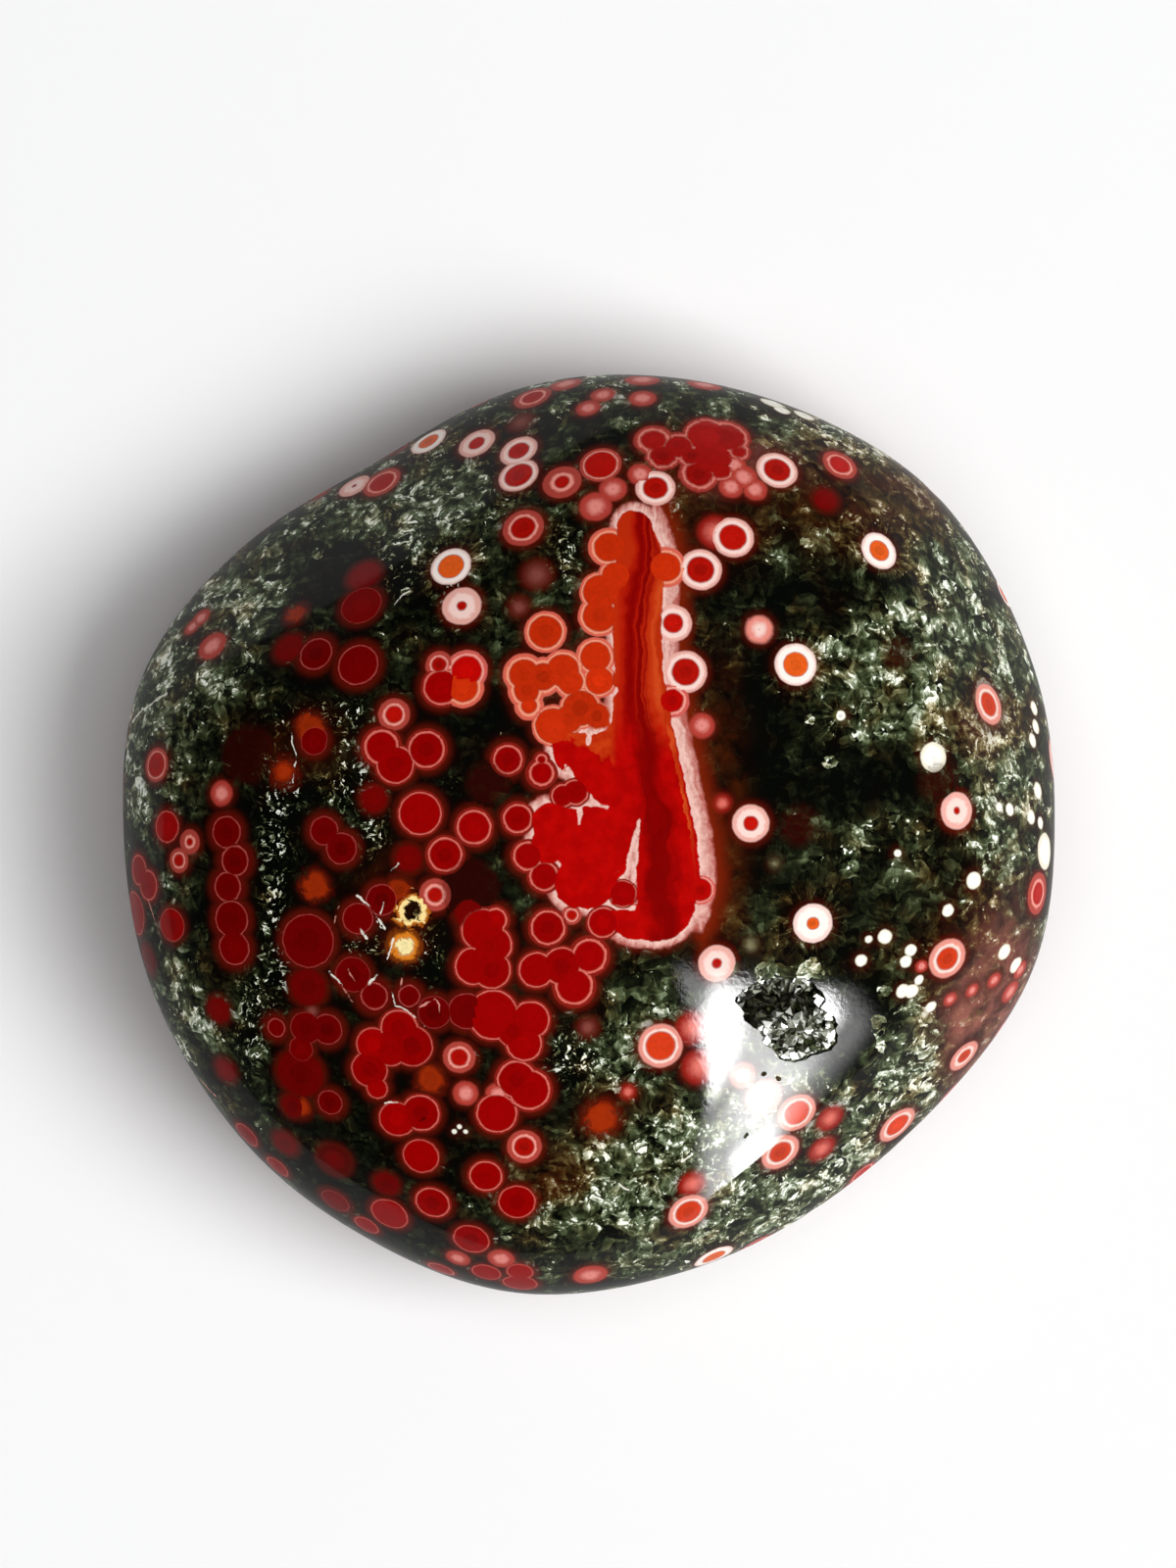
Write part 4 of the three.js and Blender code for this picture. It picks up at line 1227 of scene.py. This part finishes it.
# %%  The river's stripes, its pale margin and its colour
MARGIN = 0.62  # of pale pink around the red form, in mm
LENGTHWISE = (6.0, 0.16, 1.0)  # fine across the river, long down its run
red_noise = jasper.times(jasper.swing(place, 1.3, 3.0, 0.6), 0.5)
to_red = jasper.plus(jasper.stored("red_gap", 2), red_noise)
spot_x, spot_y, _ = jasper.split(place)
side = jasper.plus(jasper.stored("river_side", 2), jasper.times(red_noise, 0.5))
leaning = jasper.minus(side, jasper.fade(spot_y, 17.0, 25.0, 0.0, 0.7))
leaning = jasper.times_plus(jasper.swing(place, 0.30, 2.0, 0.5), 0.9, leaning)
long_grain = jasper.add("ShaderNodeCombineXYZ", {0: leaning, 1: spot_y})
stripe = jasper.swing(jasper.vector("MULTIPLY", long_grain, LENGTHWISE), 1.0, 4.0, 0.6)
striped_side = jasper.times_plus(stripe, 0.36, leaning)
STRIPES = [
    (0.03, tint(186, 42, 10)), (0.12, tint(176, 26, 6)), (0.20, tint(148, 8, 2)), (0.30, tint(130, 2, 1)),
    (0.40, tint(142, 5, 2)), (0.46, tint(170, 22, 5)), (0.52, tint(132, 4, 2)), (0.60, tint(126, 2, 1)),
    (0.66, tint(176, 32, 8)), (0.72, tint(146, 9, 3)), (0.78, tint(182, 40, 10)), (0.86, tint(190, 50, 14)),
    (0.93, tint(206, 74, 28)), (0.98, tint(180, 44, 10)),
]
warm_colour = ramp(jasper, jasper.fade(striped_side, -1.15, 1.15), STRIPES)
in_river = jasper.fade(spot_x, 1.6, 2.4)
soft_vein = jasper.fade(jasper.calc("ABSOLUTE", jasper.minus(leaning, 0.10)), 0.1, 0.6, 1.0, 0.0)
vein = jasper.times(jasper.times_plus(stripe, 1.6, soft_vein), in_river, clamp=True)
pool_tone = jasper.noise(place, 0.9, 3.0, 0.6)
deep = jasper.blend(jasper.fade(pool_tone, 0.35, 0.65), tint(166, 2, 1), tint(184, 5, 3))
deep = jasper.blend(jasper.times(vein, 0.85), deep, tint(112, 0, 0))
height_noise = jasper.times_plus(red_noise, 6.0, spot_y)
edge_warmth = jasper.calc("ABSOLUTE", jasper.minus(side, 0.90))
edge_warmth = jasper.fade(edge_warmth, 0.02, 0.09, 10.0, 0.0)
river_warm = jasper.fade(jasper.plus(height_noise, edge_warmth), 6.0, 12.0)
pool_warm = jasper.fade(jasper.times_plus(spot_x, 0.5, height_noise), 6.6, 7.2)
pool_orange = jasper.blend(jasper.fade(pool_tone, 0.35, 0.65), tint(182, 40, 7), tint(198, 60, 16))
warm_colour = jasper.blend(in_river, pool_orange, warm_colour)
warm = jasper.mix(in_river, pool_warm, river_warm)
red_colour = jasper.blend(warm, deep, warm_colour)
in_red = jasper.fade(to_red, -0.06, 0.06, 1.0, 0.0)
margin = jasper.plus(jasper.times(jasper.fade(side, 0.9, 1.2), 0.65), MARGIN)
past_margin = jasper.minus(to_red, margin)
in_margin = jasper.fade(past_margin, -0.16, 0.16, 1.0, 0.0)
streaks = jasper.times_plus(stripe, 2.0, jasper.times(milky, 1.2))
margin_tone = jasper.plus(jasper.calc("DIVIDE", to_red, margin), streaks)
margin_colour = jasper.blend(jasper.fade(margin_tone, -0.2, 1.3), tint(240, 196, 184), tint(176, 84, 74))

# %%  All the layers, from the chalcedony up
gap = jasper.calc("MINIMUM", to_edge, past_margin)
halo = jasper.times(jasper.fade(gap, 0.0, 1.3, 1.0, 0.0), one["halo"])
halo_colour = jasper.blend(jasper.fade(gap, 0.0, 0.8), tint(84, 16, 5), tint(26, 3, 1))
colour = jasper.blend(jasper.times(halo, 0.9), base, halo_colour)
right_glow = jasper.fade(past_margin, 0.0, 1.7, 0.9, 0.0)
right_glow = jasper.times(right_glow, jasper.fade(side, 0.8, 1.2))
colour = jasper.blend(right_glow, colour, tint(118, 30, 6))
colour = jasper.blend(in_margin, colour, margin_colour)
colour = jasper.blend(ring_mask, colour, rings)
colour = jasper.blend(in_red, colour, red_colour)
colour = jasper.blend(core_mask, colour, cores)

# %%  Healed cracks over everything
vein_run = jasper.stored("vein_run", 1)
listed_half, pinkness, _ = jasper.split(jasper.stored("vein_manner", 1))
crooked = pushed(pushed(drawn, 0.9, 0.48), 3.0, 0.15)
from_start = jasper.vector("SUBTRACT", crooked, jasper.stored("vein_start", 1))
run_done = jasper.vector("DOT_PRODUCT", from_start, vein_run, out=1)
whole_run = jasper.vector("DOT_PRODUCT", vein_run, vein_run, out=1)
along = jasper.calc("DIVIDE", run_done, whole_run, clamp=True)
off_vein = jasper.vector("SUBTRACT", from_start, jasper.scaled(vein_run, along))
off_vein = jasper.vector("LENGTH", off_vein, out=1)
half_vein = jasper.times(listed_half, jasper.times_plus(jasper.noise(place, 1.5, 2.0), 2.4, -0.2))
in_vein = jasper.fade(jasper.minus(off_vein, half_vein), -0.05, 0.03, 1.0, 0.0)
vein_colour = jasper.blend(pinkness, tint(240, 236, 222), tint(222, 150, 136))
colour = jasper.blend(jasper.times(in_vein, 0.9), colour, vein_colour)
edge_line = jasper.calc("ABSOLUTE", jasper.calc("MINIMUM", to_core, to_red))
edge_line = jasper.fade(edge_line, 0.02, 0.09, 0.35, 0.0)
colour = jasper.blend(jasper.times(edge_line, ring_mask), colour, tint(90, 4, 2))

# %% [markdown]
# The polish is a thin clear coat over the painted stone. Even a good polish isn't a perfect
# mirror, so the coat is uneven by about a thousandth of a millimetre: enough to keep the edges of
# the highlight from looking ruled.

# %%  The polish
jasper.feed(jasper.shader.inputs["Base Color"], colour)
jasper.feed(jasper.shader.inputs["Roughness"], 0.4)
jasper.feed(jasper.shader.inputs["IOR"], 1.54)
jasper.feed(jasper.shader.inputs["Specular IOR Level"], 0.0)
jasper.feed(jasper.shader.inputs["Coat Weight"], 0.3)
UNEVENNESS = 0.0015 * MM
uneven = jasper.add("ShaderNodeBump", {"Height": jasper.noise(place, 2.4, 3.0, 0.6), "Distance": UNEVENNESS})
jasper.feed(jasper.shader.inputs["Coat Normal"], uneven)
jasper.feed(jasper.shader.inputs["Coat Roughness"], 0.03)
carved.materials.clear()
carved.materials.append(jasper.material)
print("nodes in the jasper's finish:", len(jasper.nodes))

# %% [markdown]
# ## The crystals in the pocket
# The pocket's wall is covered with small quartz points, all grown from the wall towards the open
# middle. A bump texture would lie flat in the hollow, so each point is a real six-sided prism
# with a six-sided tip. A random direction from the bowl's middle gives the root on the wall, and
# no tip comes nearer to the polish than a quarter of a millimetre.

# %%  One quartz point
CRYSTAL_SEED = 23
CRYSTALS_PER_BOWL = 300
CRYSTAL_WIDTH = (0.4, 1.2)
LONGEST = 1.5
UNDER_POLISH = 0.25
SUNK = 0.35  # into the wall
LEAST_COVER = 0.45  # no point grows nearer than this to the mouth
# Painted shade and light on the quartz points: the first bowl's points below this y are painted darker, and
# all of the second bowl's points are painted lighter.
PAINTED_SHADE_BELOW = -12.4  # the first bowl's wall is darker on this side of y
PAINTED_SHADE_SHARE = 0.42
SECOND_BOWL_PAINTED_LIGHT = 0.12  # the second bowl is this much lighter
LEAN_UP = (0, 0, 2.0)
LEAN_SPREAD = 0.9
STUNTED = 0.45  # of the length, where a point would reach the polish


def quartz_point(root, way, width, length, dice):
    """Corners and faces of a six-sided prism with a pointed tip, sunk a little into the wall."""
    way = unit(way)
    side = unit(np.cross(way, dice.normal(size=3)))
    other = np.cross(way, side)
    turns = np.arange(6) * np.pi / 3
    reaches = width / 2 * dice.uniform(0.75, 1.2, 6)
    rim = np.cos(turns)[:, None] * side + np.sin(turns)[:, None] * other
    rim = rim * reaches[:, None]
    foot = root - way * SUNK + rim
    shoulder = root + way * (length * dice.uniform(0.45, 0.7, 6))[:, None] + rim * 0.96
    tip = root + way * length + rim[0] * dice.uniform(-0.3, 0.3)
    corners = np.vstack([foot, shoulder, tip])
    faces = [(k, (k + 1) % 6, 6 + (k + 1) % 6, 6 + k) for k in range(6)]
    faces += [(6 + k, 6 + (k + 1) % 6, 12) for k in range(6)]
    faces.append((5, 4, 3, 2, 1, 0))
    return corners, faces


# %%  Hundreds of points on the two bowls' walls
def in_bowl(point, bowl, share=0.97):
    """Whether a point lies inside a bowl, drawn in to a share of its size."""
    x, y, length, width, depth, turn = bowl
    off = point - (x, y, level_at(x, y))
    across, along = turned(off[0], off[1], -turn)
    return (across / length) ** 2 + (along / width) ** 2 + (off[2] / depth) ** 2 < share**2


crust_low, crust_high = (np.array(corner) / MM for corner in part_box("pocket_crystals"))
crystal_dice = np.random.default_rng(CRYSTAL_SEED)
crystal_corners, crystal_faces, face_glints = [], [], []
for number, bowl in enumerate(POCKET):
    x, y, length, width, depth, turn = bowl
    level = level_at(x, y)
    for _ in range(CRYSTALS_PER_BOWL):
        across, along, down = unit(crystal_dice.normal(size=3)) * (length, width, depth)
        across, along = turned(across, along, turn)
        root = np.array([x + across, y + along, level + down])
        cover = level_at(root[0], root[1]) - root[2]
        if cover < LEAST_COVER or in_bowl(root, POCKET[1 - number]):
            continue
        thick = crystal_dice.uniform(*CRYSTAL_WIDTH)
        reach = min(thick * crystal_dice.uniform(1.1, 2.3), LONGEST)
        lean = np.array([x, y, level]) - root + LEAN_UP + crystal_dice.normal(size=3) * LEAN_SPREAD
        tip = root + unit(lean) * reach
        if tip[2] > level_at(tip[0], tip[1]) - UNDER_POLISH:
            reach *= STUNTED
        corners, faces = quartz_point(root, lean, thick, reach, crystal_dice)
        top = crown_height(corners[:, 0], corners[:, 1]) - UNDER_POLISH
        corners[:, 2] = np.minimum(corners[:, 2], top)
        corners = np.clip(corners, crust_low, crust_high)
        start = sum(len(c) for c in crystal_corners)
        crystal_faces += [tuple(start + k for k in face) for face in faces]
        crystal_corners.append(corners)
        # painted glints, shade and light: each face gets a random grey, darkened in part of the first bowl
        # and raised in the second
        lit_share = 1.0 if number or root[1] > PAINTED_SHADE_BELOW else PAINTED_SHADE_SHARE
        glint_tones = crystal_dice.uniform(0, 1, len(faces)) ** 1.3 * lit_share
        face_glints += list(glint_tones + SECOND_BOWL_PAINTED_LIGHT * number)
crust_mesh = bpy.data.meshes.new("pocket_crust")
crust_mesh.from_pydata((np.vstack(crystal_corners) * MM).tolist(), [], crystal_faces)
store(crust_mesh, "facet_light", "FLOAT", "FACE", face_glints)
crust = mesh_object("pocket_crust", crust_mesh)
print("quartz points:", len(crystal_corners), " faces:", len(crystal_faces))

# %% [markdown]
# Quartz is clear, but so many small faces scatter the light, and the druse looks grey with white
# glints. Part of the light goes through, by the shader's transmission, and the rest comes back
# in a grey that changes from point to point. That grey is painted light: each face gets a random
# painted glint, part of the first bowl gets painted shade, and the second bowl painted light.

# %%  The quartz finish
quartz = Finish("quartz druse")
DRUSE_ROW = [
    (0.02, tint(12, 10, 5)), (0.25, tint(44, 42, 30)), (0.50, tint(98, 100, 82)), (0.75, tint(168, 172, 154)),
    (0.97, tint(244, 246, 238)),
]
# each face's painted glint, shade or light
facet_light = quartz.stored("facet_light", 2)
cloudy = quartz.swing(quartz.scaled(quartz.add("ShaderNodeTexCoord", {}, 3), 1 / MM), 3.0, 3.0)
mixed_tone = quartz.times_plus(cloudy, 0.5, facet_light)
quartz.feed(quartz.shader.inputs["Base Color"], ramp(quartz, mixed_tone, DRUSE_ROW))
quartz.feed(quartz.shader.inputs["Roughness"], 0.15)
quartz.feed(quartz.shader.inputs["IOR"], 1.54)
quartz.feed(quartz.shader.inputs["Transmission Weight"], 0.1)
crust_mesh.materials.append(quartz.material)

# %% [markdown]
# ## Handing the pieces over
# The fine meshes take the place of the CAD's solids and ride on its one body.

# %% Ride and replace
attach(body, "root")
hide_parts("stone")
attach(crust, "root")
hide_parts("pocket_crystals")
